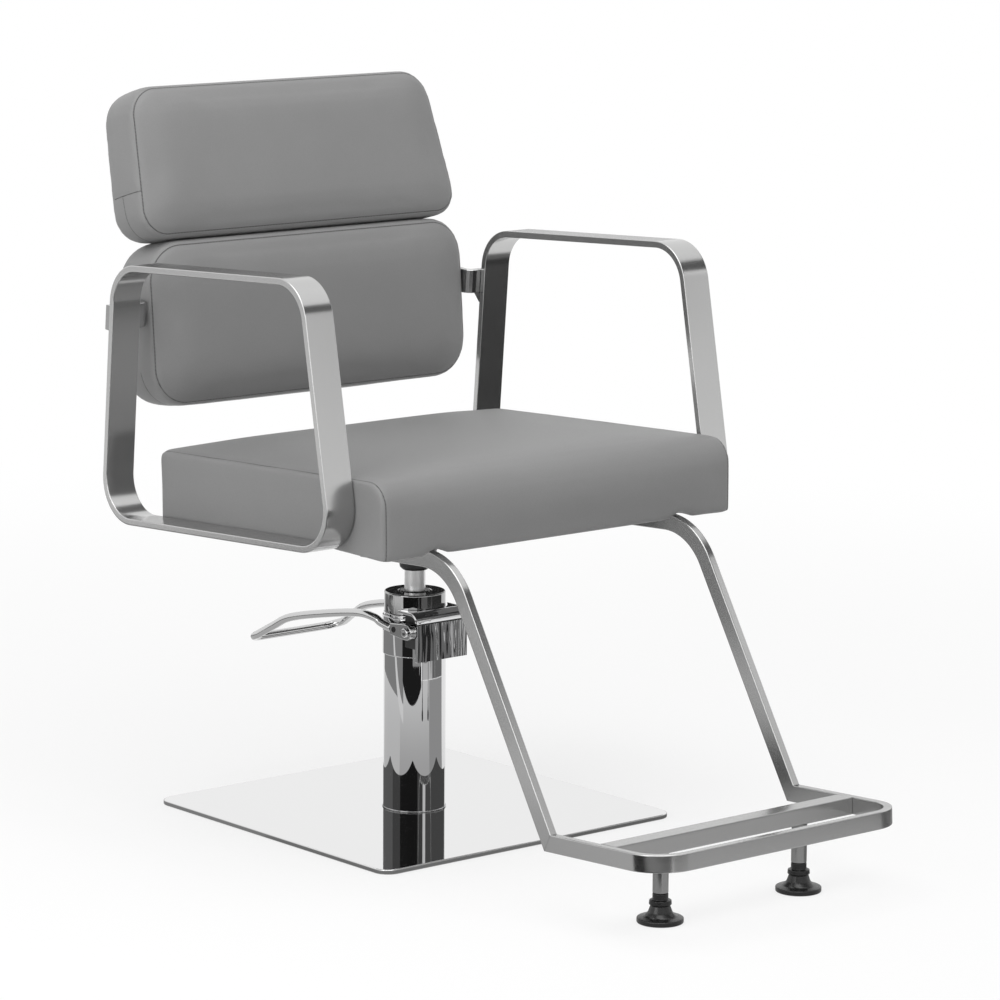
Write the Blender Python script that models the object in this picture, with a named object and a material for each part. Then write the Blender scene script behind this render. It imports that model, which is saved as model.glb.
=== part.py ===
"""Hydraulic styling chair: square base, pump column, flat bar arms, padded seat and back, footrest."""
import math

import bmesh
import bpy
from mathutils import Matrix, Vector

# Sizes are in metres. The chair faces -Y, +Z is up, the origin is under the column on the floor.
GAP = 0.0003              # clearance between pieces that touch

# Base plate
BASE_SIZE = 0.450
BASE_T = 0.006
BASE_CORNER = 0.020
BASE_EDGE = 0.0012

# Pump column
COLUMN_R = 0.038
COLUMN_WALL = 0.002
PUMP_TOP = 0.275
CAP_H = 0.025
CAP_SETBACK = 0.0006
COLLAR_R = 0.0395
COLLAR_LOW = 0.1985
COLLAR_H = 0.0475
CYLINDER_R = 0.026
CYLINDER_WALL = 0.004
ROD_R = 0.0128
PISTON_H = 0.026
SEAL_R = 0.0175
SEAL_H = 0.0016
LIFT = 0.150              # stroke of the ram, from its rest to the cap

# Pedal and its housing on the front of the column
COVER_HALF = 0.0388
COVER_TOP = 0.2575
COVER_LOW = 0.198
COVER_FRONT = 0.0527
COVER_REAR = 0.016
COVER_T = 0.0035
COVER_BEND = 0.012
BLOCK_HALF = 0.033
BLOCK_LOW = 0.212
PIVOT_Y = -0.0440
PIVOT_Z = 0.2355
SHAFT_R = 0.0045
EYE_IN = 0.0402
EYE_T = 0.0095
EYE_R = 0.0095
EYE_TAIL = 0.031
EYE_TAIL_H = 0.0135
NUT_R = 0.0058
NUT_T = 0.0024
PEDAL_ROD_R = 0.0050
PEDAL_SPREAD = 0.069
PEDAL_REACH = 0.290
PEDAL_RISE = 0.010
PEDAL_DROP = 0.052
PEDAL_CORNER = 0.020

# Tilted seat frame: its plane is the underside of the arm bars at the column axis
FRAME_Z = 0.3744
PITCH = math.radians(2.9)
HUB_LOW = 0.3015
HUB_R_LOW = 0.0185
HUB_R_TOP = 0.032
HUB_CONE = 0.030
HUB_ROOF = 0.010
PLATE_T = 0.006
PLATE_HALF = 0.085
RAIL_T = 0.006
RAIL_W = 0.040
RAIL_Y = 0.115
RAIL_UNDER = 0.012        # how far the rails reach under the arm bars

# Arm loops of flat bar
ARM_IN = 0.268
BAR_W = 0.040
BAR_T = 0.008
BAR_EDGE = 0.0008
ARM_H = 0.3127
ARM_Y = -0.0057
ARM_BOTTOM = 0.227
ARM_TOP = 0.1857
ARM_R = 0.052

# Seat
SEAT_SIDE_GAP = 0.0012
SEAT_FRONT = 0.278
SEAT_REAR = 0.156
SEAT_H = 0.0845
SEAT_RISE = 0.004         # the rear edge stands this much above the front edge
SEAT_CROWN = 0.006
SEAT_NOSE = 0.030
SEAT_EDGE = 0.009
LIP_DROP = 0.0035         # the front of the underside hangs this much lower
LIP_START = 0.215
BOARD_T = 0.010
BOARD_INSET = 0.024

# Back pads, each measured along its own lean
LOWER_Y = 0.191
LOWER_U = 0.130
LOWER_LEAN = math.radians(2.0)
LOWER_HALF = 0.2455
LOWER_H = 0.2015
LOWER_T = 0.064
LOWER_R = 0.050
UPPER_Y = 0.199
PAD_SPLIT = 0.003         # least gap between the two pads
UPPER_LEAN = math.radians(14.0)
UPPER_HALF = 0.2475
UPPER_TOP_HALF = 0.2300
UPPER_H = 0.1895
UPPER_T = 0.060
UPPER_R = 0.039
PAD_CROWN = 0.010
PAD_BULGE = 0.001         # the sides stand out this much at half depth
PANEL_T = 0.006
PANEL_INSET = 0.022
STRAP_X = 0.090
STRAP_W = 0.030
STRAP_T = 0.005
STRAP_START = 0.045
STRAP_END = 0.050

# Carrier of the back
BRACKET_U = 0.2466
BRACKET_H = 0.030
BRACKET_T = 0.009
BRACKET_BEND = 0.009
BRACKET_OUT = 0.002       # short of the arm bar's outer edge
BRACKET_RUN = 0.050       # from the arm bar's rear face along the pad's side
GUSSET_T = 0.006
GUSSET_H = 0.012
GUSSET_RUN = 0.0125

# Footrest
LEG_X = 0.187
LEG_T = 0.010
LEG_H = 0.020
LEG_TOP = -0.002          # upper side of the legs under the seat
LEG_KNEE = 0.2948
LEG_KNEE_R = 0.080
LEG_ANGLE = math.radians(28.4)
REST_DROP = 0.3134        # from the frame plane to the middle of the footrest bars
REST_FRONT = 0.644
REST_R = 0.042
REST_BAR_FRONT = 0.5616
REST_BAR_W = 0.025

# Levelling feet
FOOT_X = 0.1065
FOOT_SET = 0.0092         # behind the cross bar's front face
SLEEVE_R = 0.009
STUD_R = 0.0042
STUD_CLEAR = 0.004        # from the stud's end to the bar over it
FOOT_H = 0.034            # from the floor to the sleeve
FOOT_R = 0.0265
FOOT_RIM = 0.005
FOOT_BELL = 0.0125
FOOT_NECK = 0.009

COLOURS = {
    "chrome": ((0.62, 0.63, 0.64), 0.06, 1.0),
    "steel": ((0.50, 0.50, 0.49), 0.30, 1.0),
    "dark_steel": ((0.10, 0.10, 0.11), 0.35, 1.0),
    "leather": ((0.235, 0.235, 0.235), 0.52, 0.0),
    "board": ((0.05, 0.05, 0.05), 0.75, 0.0),
    "rubber": ((0.012, 0.012, 0.013), 0.45, 0.0),
}

for old in list(bpy.data.objects):
    bpy.data.objects.remove(old, do_unlink=True)


def material(name):
    colour, rough, metal = COLOURS[name]
    made = bpy.data.materials.get(name)
    if made is None:
        made = bpy.data.materials.new(name)
        made.use_nodes = True
        shader = made.node_tree.nodes["Principled BSDF"]
        shader.inputs["Base Color"].default_value = (*colour, 1.0)
        shader.inputs["Roughness"].default_value = rough
        shader.inputs["Metallic"].default_value = metal
    return made


def place(name, bm, finish, parent=None, at=(0, 0, 0), smooth=30.0):
    bmesh.ops.recalc_face_normals(bm, faces=bm.faces)
    mesh = bpy.data.meshes.new(name)
    bm.to_mesh(mesh)
    bm.free()
    if smooth:
        mesh.shade_smooth()
        mesh.set_sharp_from_angle(angle=math.radians(smooth))
    mesh.materials.append(material(finish))
    item = bpy.data.objects.new(name, mesh)
    item.location = at
    item.parent = parent
    bpy.context.scene.collection.objects.link(item)
    return item


def guide(name, parent=None, at=(0, 0, 0), turn_x=0.0):
    item = bpy.data.objects.new(name, None)
    item.location = at
    item.rotation_euler = (turn_x, 0, 0)
    item.parent = parent
    bpy.context.scene.collection.objects.link(item)
    return item


def cut(item, tool):
    tool.hide_render = True
    tool.display_type = "WIRE"
    change = item.modifiers.new("cut", "BOOLEAN")
    change.operation = "DIFFERENCE"
    change.object = tool


def turned(profile, steps=32):
    # A closed outline of (radius, height) points, turned about Z
    bm = bmesh.new()
    ring = [bm.verts.new((r, 0, z)) for r, z in profile]
    on_axis = profile[0][0] == 0 and profile[-1][0] == 0
    pairs = list(zip(ring, ring[1:]))
    if not on_axis:
        pairs.append((ring[-1], ring[0]))
    edges = [bm.edges.new(pair) for pair in pairs]
    bmesh.ops.spin(bm, geom=ring + edges, cent=(0, 0, 0), axis=(0, 0, 1),
                   angle=2 * math.pi, steps=steps, use_merge=True)
    bmesh.ops.remove_doubles(bm, verts=bm.verts, dist=1e-6)
    return bm


def tube_profile(inner, outer, low, high, edge=0.0006):
    return [(inner, high), (outer - edge, high), (outer, high - edge),
            (outer, low + edge), (outer - edge, low), (inner, low)]


def rod(radius, length, steps=24):
    # A round bar along X, about the origin
    bm = turned([(0, length / 2), (radius, length / 2), (radius, -length / 2), (0, -length / 2)], steps)
    bmesh.ops.rotate(bm, verts=bm.verts, matrix=Matrix.Rotation(math.pi / 2, 3, "Y"))
    return bm


def rounded(points, radius, closed=False, steps=6):
    # A flat path with filleted corners, as (point, direction) pairs
    path = []
    count = len(points)
    radii = radius if isinstance(radius, (list, tuple)) else [radius] * count
    for i, point in enumerate(points):
        here = Vector(point)
        if not closed and i in (0, count - 1):
            other = Vector(points[1]) - here if i == 0 else here - Vector(points[i - 1])
            path.append((here, other.normalized()))
            continue
        into = (here - Vector(points[i - 1])).normalized()
        out = (Vector(points[(i + 1) % count]) - here).normalized()
        side = 1 if into.x * out.y - into.y * out.x > 0 else -1
        turn = into.angle(out)
        start = here - into * radii[i] * math.tan(turn / 2)
        centre = start + side * radii[i] * Vector((-into.y, into.x))
        for k in range(steps + 1):
            way = Matrix.Rotation(side * turn * k / steps, 2) @ into
            path.append((centre - side * radii[i] * Vector((-way.y, way.x)), way))
    return path


def bar(path, thick, width, to_space, edge=BAR_EDGE, closed=False, lean=((0, 0), (0, 0))):
    # A flat bar along a flat path: thick lies in the path's plane, width across it
    a, b = thick / 2, width / 2
    section = [(-a + edge, -b), (a - edge, -b), (a, -b + edge), (a, b - edge),
               (a - edge, b), (-a + edge, b), (-a, b - edge), (-a, -b + edge)]
    bm = bmesh.new()
    rings = []
    for i, (point, way) in enumerate(path):
        slope = lean[0] if i == 0 else lean[1] if i == len(path) - 1 else (0, 0)
        ring = []
        for p, q in section:
            spot = point + p * Vector((-way.y, way.x)) + way * (slope[0] * p + slope[1] * q)
            ring.append(bm.verts.new(to_space(spot.x, spot.y, q)))
        rings.append(ring)
    skin(bm, rings, closed)
    return bm


def skin(bm, rings, closed=False):
    # Faces between rings of equal count, with end caps on an open run
    count = len(rings[0])
    pairs = list(zip(rings, rings[1:]))
    if closed:
        pairs.append((rings[-1], rings[0]))
    for one, two in pairs:
        for k in range(count):
            bm.faces.new((one[k], one[(k + 1) % count], two[(k + 1) % count], two[k]))
    if not closed:
        bm.faces.new(rings[0])
        bm.faces.new(rings[-1])


def pipe(points, radius, sides=12):
    # A round bar along a path in space
    bm = bmesh.new()
    rings = []
    across = Vector((0, 0, 1))
    for i, point in enumerate(points):
        before = points[max(i - 1, 0)]
        after = points[min(i + 1, len(points) - 1)]
        way = (after - before).normalized()
        across = (across - way * across.dot(way)).normalized()
        other = way.cross(across)
        spread = []
        for k in range(sides):
            turn = 2 * math.pi * k / sides
            spread.append(bm.verts.new(point + radius * (math.cos(turn) * across + math.sin(turn) * other)))
        rings.append(spread)
    skin(bm, rings)
    return bm


def smooth_line(knots, steps):
    # A smooth curve through the knots (Catmull-Rom)
    line = []
    ends = [2 * knots[0] - knots[1]] + knots + [2 * knots[-1] - knots[-2]]
    for a, b, c, d in zip(ends, ends[1:], ends[2:], ends[3:]):
        for k in range(steps):
            t = k / steps
            line.append(0.5 * (2 * b + (c - a) * t + (2 * a - 5 * b + 4 * c - d) * t * t
                               + (3 * b - a - 3 * c + d) * t ** 3))
    line.append(knots[-1])
    return line


def block(low, high, edge=0.0):
    bm = bmesh.new()
    size = Vector(high) - Vector(low)
    bmesh.ops.create_cube(bm, size=1.0, matrix=Matrix.Translation((Vector(high) + Vector(low)) / 2)
                          @ Matrix.Diagonal((*size, 1)))
    if edge:
        bmesh.ops.bevel(bm, geom=bm.edges, offset=edge, segments=1, affect="EDGES")
    return bm


def extruded(outline, to_space, low, high):
    # A flat outline carried from low to high across its plane
    bm = bmesh.new()
    skin(bm, [[bm.verts.new(to_space(p, q, level)) for p, q in outline] for level in (low, high)])
    return bm


def rounded_box(half_x, low, high, radius, top_half=None, corner=5, side=3):
    # Ring of a rounded rectangle in X and Z whose upper edge may be narrower
    mid, half_z = (low + high) / 2, (high - low) / 2
    narrow = (top_half if top_half is not None else half_x) - half_x
    centres = [(half_x - radius, half_z - radius), (radius - half_x, half_z - radius),
               (radius - half_x, radius - half_z), (half_x - radius, radius - half_z)]
    ring = []
    for quarter, (cx, cz) in enumerate(centres):
        for k in range(corner + 1):
            turn = math.pi / 2 * (quarter + k / corner)
            ring.append(Vector((cx + radius * math.cos(turn), cz + radius * math.sin(turn))))
        nx, nz = centres[(quarter + 1) % 4]
        turn = math.pi / 2 * (quarter + 1)
        ahead = Vector((nx + radius * math.cos(turn), nz + radius * math.sin(turn)))
        last = ring[-1]
        ring += [last.lerp(ahead, k / (side + 1)) for k in range(1, side + 1)]
    return [(p.x * (half_x + narrow * (p.y + half_z) / (2 * half_z)) / half_x, p.y + mid) for p in ring]


def pad(half, top_half, height, thick, radius, low_tuck=0.0, high_tuck=0.0):
    # A box cushion: the rear lies at +thick, the front seam at 0, the crown in front of it
    # the tucks lift the underside and lower the upper side towards the rear
    layers = [(thick, 0.016), (thick, 0.007), (thick - 0.002, 0.003), (thick - 0.007, 0.0006)]
    layers += [(thick * 0.72, -0.0006), (thick * 0.45, -PAD_BULGE), (thick * 0.2, 0.0002)]
    layers += [(0.0035, 0.0022), (0.0, 0.0034), (-0.0022, 0.005)]
    reach = height / 2 - 0.012
    for k in range(1, 9):
        run = k / 8
        ahead = 0.0022 + (PAD_CROWN - 0.0022) * (1 - (1 - run) ** 2.6)
        layers.append((-ahead, 0.005 + (reach - 0.005) * run ** 1.35))
    bm = bmesh.new()
    rings = []
    for depth, inset in layers:
        round_r = max(radius - inset, 0.006)
        share = max(depth, 0) / thick
        low = inset + low_tuck * share
        high = height - inset - high_tuck * share
        spots = rounded_box(half - inset, low, high, round_r, top_half - inset)
        rings.append([bm.verts.new((x, depth, z)) for x, z in spots])
    skin(bm, rings)
    return bm


def seat_profile(inset, crown, bulge):
    # Side outline of the seat in (y, height), nose to the front
    front, rear = -SEAT_FRONT + inset, SEAT_REAR - inset
    low, high = GAP + inset, GAP + SEAT_H - inset
    corners = [(rear, low), (rear, high + SEAT_RISE), (front, high), (front + 0.004, low)]
    radii = [0.003, SEAT_EDGE, SEAT_NOSE, 0.005]
    ring = []
    for point, way in rounded(corners, radii, closed=True, steps=5):
        ring.append(point)
    full = []
    for one, two in zip(ring, ring[1:] + ring[:1]):
        parts = max(1, round((two - one).length / 0.045))
        full += [one.lerp(two, k / parts) for k in range(parts)]
    shaped = []
    for point in full:
        along = (point.x - front) / (rear - front)
        level = (point.y - low) / (high - low)
        lift = crown * max(level, 0) ** 3 * math.sin(math.pi * min(max(along, 0), 1)) ** 0.7
        side = 1 if along < 0.1 else -0.5 if along > 0.9 else 0
        push = side * bulge * math.sin(math.pi * min(max(level, 0), 1))
        ahead = max(-point.x - LIP_START, 0) / (SEAT_FRONT - LIP_START)
        drop = LIP_DROP * ahead ** 2 * (1 - min(max(level, 0), 1))
        shaped.append((point.x - push, point.y + lift - drop))
    return shaped


def seat_solid(half):
    # Sections across the seat, drawn in at both sides and crowned in the middle
    stations = [(1.0, 0.0035), (0.996, 0.0012), (0.985, 0.0), (0.955, 0.0), (0.90, 0.0), (0.80, 0.0),
                (0.62, 0.0), (0.40, 0.0), (0.14, 0.0)]
    run = [(-s, d) for s, d in stations] + [(s, d) for s, d in reversed(stations)]
    bm = bmesh.new()
    rings = []
    for share, inset in run:
        fullness = 1 - abs(share) ** 3.5
        spots = seat_profile(inset, SEAT_CROWN * fullness, 0.004 * fullness)
        rings.append([bm.verts.new((share * half, y, z)) for y, z in spots])
    skin(bm, rings)
    return bm


def along_x(y, z, x):
    return (x, y, z)


def flat(x, y, z):
    return (x, y, z)


# Base plate and the fixed parts of the pump
half = BASE_SIZE / 2
plan = [(half, -half), (half, half), (-half, half), (-half, -half)]
outline = [tuple(p) for p, way in rounded(plan, BASE_CORNER, closed=True, steps=6)]
bm = extruded(outline, flat, 0, BASE_T)
rims = [e for e in bm.edges if abs(e.verts[0].co.z - e.verts[1].co.z) < 1e-6]
bmesh.ops.bevel(bm, geom=rims, offset=BASE_EDGE, segments=1, affect="EDGES")
place("base_plate", bm, "chrome")

sleeve_top = PUMP_TOP - CAP_H - GAP
foot = BASE_T + GAP
sleeve_wall = tube_profile(COLUMN_R - COLUMN_WALL, COLUMN_R, foot, sleeve_top)
place("column_sleeve", turned(sleeve_wall, 48), "chrome")
place("pump_cylinder", turned(tube_profile(CYLINDER_R - CYLINDER_WALL, CYLINDER_R, foot, sleeve_top), 32),
      "dark_steel")
collar_in = COLUMN_R + GAP
collar_top = COLLAR_LOW + COLLAR_H
collar_wall = tube_profile(collar_in, COLLAR_R, COLLAR_LOW, collar_top, 0.0005)
place("pump_collar", turned(collar_wall, 48), "chrome")

cap_r = COLUMN_R - CAP_SETBACK
cap_low = PUMP_TOP - CAP_H
rod_hole = ROD_R + GAP
seat_low = PUMP_TOP - SEAL_H
cap = [(rod_hole, seat_low), (SEAL_R + GAP, seat_low), (SEAL_R + GAP, PUMP_TOP), (cap_r - 0.0015, PUMP_TOP),
       (cap_r, PUMP_TOP - 0.0015), (cap_r, cap_low), (rod_hole, cap_low)]
place("pump_cap", turned(cap, 48), "chrome")
seal_low = seat_low + GAP
seal = [(rod_hole, PUMP_TOP + 0.0008), (SEAL_R - 0.0010, PUMP_TOP + 0.0008), (SEAL_R, PUMP_TOP - 0.0002),
        (SEAL_R, seal_low), (rod_hole, seal_low)]
place("rod_seal", turned(seal, 32), "rubber")

# Bent cover plate and bearing block on the front of the column
cover_line = [(-COVER_REAR, COVER_TOP - COVER_T / 2), (-COVER_FRONT + COVER_T / 2, COVER_TOP - COVER_T / 2),
              (-COVER_FRONT + COVER_T / 2, COVER_LOW)]
cover_path = rounded(cover_line, COVER_BEND, steps=6)
cover = place("pump_cover", bar(cover_path, COVER_T, 2 * COVER_HALF, along_x, 0.0005), "chrome")
around = turned([(0, PUMP_TOP), (COLLAR_R + GAP, PUMP_TOP), (COLLAR_R + GAP, COVER_LOW - COVER_T),
                 (0, COVER_LOW - COVER_T)], 48)
column_space = place("column_space", around, "chrome", smooth=0)
cut(cover, column_space)

block_front = -COVER_FRONT + COVER_T + GAP
block_top = COVER_TOP - COVER_T - GAP
chamfer = COVER_BEND
block_rear = -COVER_REAR - 0.004
sides = [(block_rear, BLOCK_LOW), (block_rear, block_top), (block_front + chamfer, block_top),
         (block_front, block_top - chamfer), (block_front, BLOCK_LOW + 0.006),
         (block_front + 0.006, BLOCK_LOW)]
bearing = place("pedal_bearing", extruded(sides, along_x, -BLOCK_HALF, BLOCK_HALF), "dark_steel")
cut(bearing, column_space)
pivot = (0, PIVOT_Y, PIVOT_Z)
shaft_space = place("shaft_space", rod(SHAFT_R + GAP, 4 * EYE_IN, 24), "chrome", at=pivot, smooth=0)
cut(bearing, shaft_space)

# Ram
ram = guide("ram_axis")
rod_top = FRAME_Z - PLATE_T - RAIL_T - HUB_ROOF - 0.003
piston_top = PUMP_TOP - CAP_H - GAP - LIFT
piston_low = piston_top - PISTON_H
rod_shape = [(0, rod_top), (ROD_R - 0.001, rod_top), (ROD_R, rod_top - 0.001),
             (ROD_R, piston_top + GAP), (0, piston_top + GAP)]
place("piston_rod", turned(rod_shape, 32), "chrome", ram)
piston_r = CYLINDER_R - CYLINDER_WALL - GAP
head_shape = [(0, piston_top), (piston_r - 0.002, piston_top), (piston_r, piston_top - 0.002),
              (piston_r, piston_low), (0, piston_low)]
place("piston_head", turned(head_shape, 32), "dark_steel", ram)

# Pedal on its shaft
pedal = guide("pedal_axis", at=pivot)
shaft_half = EYE_IN + EYE_T + GAP
place("pedal_shaft", rod(SHAFT_R, 2 * shaft_half, 24), "dark_steel", pedal)
eye_mid = EYE_IN + EYE_T / 2
tail_in = EYE_TAIL
arc = [(math.cos(t), math.sin(t)) for t in [math.pi / 3 + k * math.pi * 4 / 3 / 12 for k in range(13)]]
eye_outline = [(EYE_R * c, EYE_R * s) for c, s in arc]
eye_outline += [(tail_in - 0.008, -EYE_TAIL_H / 2), (tail_in, -EYE_TAIL_H / 2 + 0.002)]
eye_outline += [(tail_in, EYE_TAIL_H / 2 - 0.002), (tail_in - 0.008, EYE_TAIL_H / 2)]
for name, sign in (("left", -1), ("right", 1)):
    low, high = sorted((sign * EYE_IN, sign * (EYE_IN + EYE_T)))
    eye = place("pedal_eye_" + name, extruded(eye_outline, along_x, low, high), "chrome", pedal)
    cut(eye, shaft_space)
    nut = turned([(0, NUT_T), (NUT_R - 0.001, NUT_T), (NUT_R, NUT_T - 0.001), (NUT_R, 0), (0, 0)], 18)
    bmesh.ops.rotate(nut, verts=nut.verts, matrix=Matrix.Rotation(sign * math.pi / 2, 3, "Y"))
    place("pedal_nut_" + name, nut, "chrome", pedal, at=(sign * (shaft_half + GAP), 0, 0))

reach = PEDAL_REACH - PEDAL_CORNER
start = tail_in + GAP
knots = [Vector((eye_mid, start + PEDAL_ROD_R, 0)),
         Vector((eye_mid + 0.002, start + 4 * PEDAL_ROD_R, PEDAL_RISE * 0.4)),
         Vector((eye_mid + 0.004, PEDAL_REACH * 0.215, PEDAL_RISE * 0.9)),
         Vector((eye_mid + 0.006, PEDAL_REACH * 0.32, PEDAL_RISE))]
for share, drop in ((0.55, 0.2), (0.74, 0.42), (0.84, 0.67)):
    knots.append(Vector((eye_mid + (PEDAL_SPREAD - eye_mid) * share ** 1.5, PEDAL_REACH * share,
                         PEDAL_RISE * (1 - drop) - PEDAL_DROP * drop * 0.92)))
knots.append(Vector((PEDAL_SPREAD, reach, -PEDAL_DROP + 0.008)))
corner = [Vector((PEDAL_SPREAD - PEDAL_CORNER * (1 - math.cos(t)), reach + PEDAL_CORNER * math.sin(t),
                  -PEDAL_DROP + 0.008 * (1 - math.sin(t))))
          for t in [math.pi / 2 * k / 6 for k in range(1, 7)]]
right_side = [Vector((eye_mid, start, 0))] + smooth_line(knots, 3) + corner
left_side = [Vector((-p.x, p.y, p.z)) for p in reversed(right_side)]
place("pedal_loop", pipe(right_side + left_side, PEDAL_ROD_R, 12), "chrome", pedal)

# Swivelling upper part: a level axis, then the tilted frame
swivel = guide("swivel_axis", ram, at=(0, 0, FRAME_Z))
tilt = guide("seat_tilt", swivel, turn_x=-PITCH)

plate_low = -RAIL_T - GAP - PLATE_T - GAP
hub_top = FRAME_Z + plate_low - GAP
bore_top = FRAME_Z - PLATE_T - RAIL_T - HUB_ROOF
cone_top = HUB_LOW + HUB_CONE
hub_shape = [(0, bore_top), (rod_hole, bore_top), (rod_hole, HUB_LOW), (HUB_R_LOW - 0.003, HUB_LOW),
             (HUB_R_LOW, HUB_LOW + 0.003), (HUB_R_LOW + 0.001, HUB_LOW + 0.009),
             (HUB_R_TOP - 0.002, cone_top), (HUB_R_TOP, cone_top + 0.003), (HUB_R_TOP, hub_top), (0, hub_top)]
hub = turned(hub_shape, 40)
for vert in hub.verts:
    if vert.co.z > hub_top - 1e-5:
        vert.co.z = FRAME_Z + (plate_low - GAP) / math.cos(PITCH) - vert.co.y * math.tan(PITCH)
    vert.co.z -= FRAME_Z
place("seat_hub", hub, "dark_steel", swivel)

rail_reach = ARM_IN + RAIL_UNDER
rail_low = -RAIL_T - GAP
plate_y = RAIL_Y + RAIL_W / 2
plate = block((-PLATE_HALF, -plate_y, plate_low), (PLATE_HALF, plate_y, plate_low + PLATE_T), 0.0008)
place("seat_plate", plate, "dark_steel", tilt)
for name, sign in (("front", -1), ("rear", 1)):
    near, far = sign * RAIL_Y - RAIL_W / 2, sign * RAIL_Y + RAIL_W / 2
    rail = block((-rail_reach, near, rail_low), (rail_reach, far, -GAP), 0.0012)
    place("seat_rail_" + name, rail, "dark_steel", tilt)

# Arms: one closed trapezoid of flat bar on each side, standing on the rails
t = BAR_T / 2
lean = (ARM_BOTTOM - ARM_TOP) / ARM_H
side_in = t / math.cos(math.atan(lean))
low_half = ARM_BOTTOM - side_in - lean * t
top_half = ARM_TOP - side_in + lean * t
arm_mid = [(ARM_Y - low_half, t), (ARM_Y + low_half, t), (ARM_Y + top_half, ARM_H - t),
           (ARM_Y - top_half, ARM_H - t)]
for name, sign in (("left", -1), ("right", 1)):
    def on_side(y, z, w, sign=sign):
        return (sign * (ARM_IN + BAR_W / 2 + w), y, z)
    loop = bar(rounded(arm_mid, ARM_R - t, closed=True, steps=8), BAR_T, BAR_W, on_side, closed=True)
    place("arm_loop_" + name, loop, "steel", tilt)

# Seat: cushion over a board that is let into its underside
seat_half = ARM_IN - SEAT_SIDE_GAP
cushion = place("seat_cushion", seat_solid(seat_half), "leather", tilt, smooth=50)
board_x = seat_half - BOARD_INSET
board_front = -SEAT_FRONT + BOARD_INSET
board_rear = SEAT_REAR - BOARD_INSET
pocket = place("board_space", block((-board_x - GAP, board_front - GAP, -0.01),
               (board_x + GAP, board_rear + GAP, BOARD_T + 2 * GAP)), "board", tilt, smooth=0)
cut(cushion, pocket)
board = block((-board_x, board_front, GAP), (board_x, board_rear, GAP + BOARD_T), 0.001)
place("seat_board", board, "board", tilt)

# Back: two pads, each with a rear panel, on two straps
lower = guide("lower_lean", tilt, at=(0, LOWER_Y, LOWER_U), turn_x=-LOWER_LEAN)
upper_u = LOWER_U + LOWER_H * math.cos(LOWER_LEAN) + PAD_SPLIT
upper = guide("upper_lean", tilt, at=(0, UPPER_Y, upper_u), turn_x=-UPPER_LEAN)
tuck = max(LOWER_T, UPPER_T) * math.tan(UPPER_LEAN - LOWER_LEAN) / 2
lower_shape = pad(LOWER_HALF, LOWER_HALF, LOWER_H, LOWER_T, LOWER_R, high_tuck=tuck)
place("lower_pad", lower_shape, "leather", lower, smooth=50)
upper_shape = pad(UPPER_HALF, UPPER_TOP_HALF, UPPER_H, UPPER_T, UPPER_R, low_tuck=tuck)
place("upper_pad", upper_shape, "leather", upper, smooth=50)
for name, holder, half_x, top_x, low, high, deep, corner_r in (
        ("lower", lower, LOWER_HALF, LOWER_HALF, 0, LOWER_H - tuck, LOWER_T, LOWER_R),
        ("upper", upper, UPPER_HALF, UPPER_TOP_HALF, tuck, UPPER_H, UPPER_T, UPPER_R)):
    panel_r = max(corner_r - PANEL_INSET, 0.01)
    low, high = low + PANEL_INSET, high - PANEL_INSET
    ring = rounded_box(half_x - PANEL_INSET, low, high, panel_r, top_x - PANEL_INSET, 5, 0)
    panel = extruded(ring, lambda x, z, y: (x, y, z), deep + GAP, deep + GAP + PANEL_T)
    place(name + "_panel", panel, "board", holder)


def on_pad(lean_angle, y0, u0, depth, along):
    # A point of a leaning pad's own frame, as (y, u) of the seat frame
    return Vector((y0 + depth * math.cos(lean_angle) + along * math.sin(lean_angle),
                   u0 - depth * math.sin(lean_angle) + along * math.cos(lean_angle)))


lower_at = (LOWER_LEAN, LOWER_Y, LOWER_U)
upper_at = (UPPER_LEAN, UPPER_Y, upper_u)
strap_low = LOWER_T + PANEL_T + 2 * GAP + STRAP_T / 2
strap_high = UPPER_T + PANEL_T + 2 * GAP + STRAP_T / 2
first = on_pad(*lower_at, strap_low, STRAP_START)
last = on_pad(*upper_at, strap_high, UPPER_H - STRAP_END)
way_low = on_pad(LOWER_LEAN, 0, 0, 0, 1)
way_high = on_pad(UPPER_LEAN, 0, 0, 0, 1)
across = way_low.x * way_high.y - way_low.y * way_high.x
gone = last - first
knee = first + way_low * ((gone.x * way_high.y - gone.y * way_high.x) / across)
strap_path = rounded([first, knee, last], 0.030, steps=4)
for name, sign in (("left", -1), ("right", 1)):
    def at_strap(y, z, w, sign=sign):
        return (sign * STRAP_X + w, y, z)
    place("back_strap_" + name, bar(strap_path, STRAP_T, STRAP_W, at_strap, 0.0006), "dark_steel", tilt)

# Carrier: side brackets from the rear of the arms to the sides of the lower pad
arm_lean = math.atan(lean)
arm_rear = Vector((ARM_Y + ARM_BOTTOM - lean * BRACKET_U, BRACKET_U))


def behind_arm(x, run, rise):
    # From the arm bar's rear face: run square to it, rise along it
    return (x, arm_rear.x + run * math.cos(arm_lean) - rise * math.sin(arm_lean),
            arm_rear.y + run * math.sin(arm_lean) + rise * math.cos(arm_lean))


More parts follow.
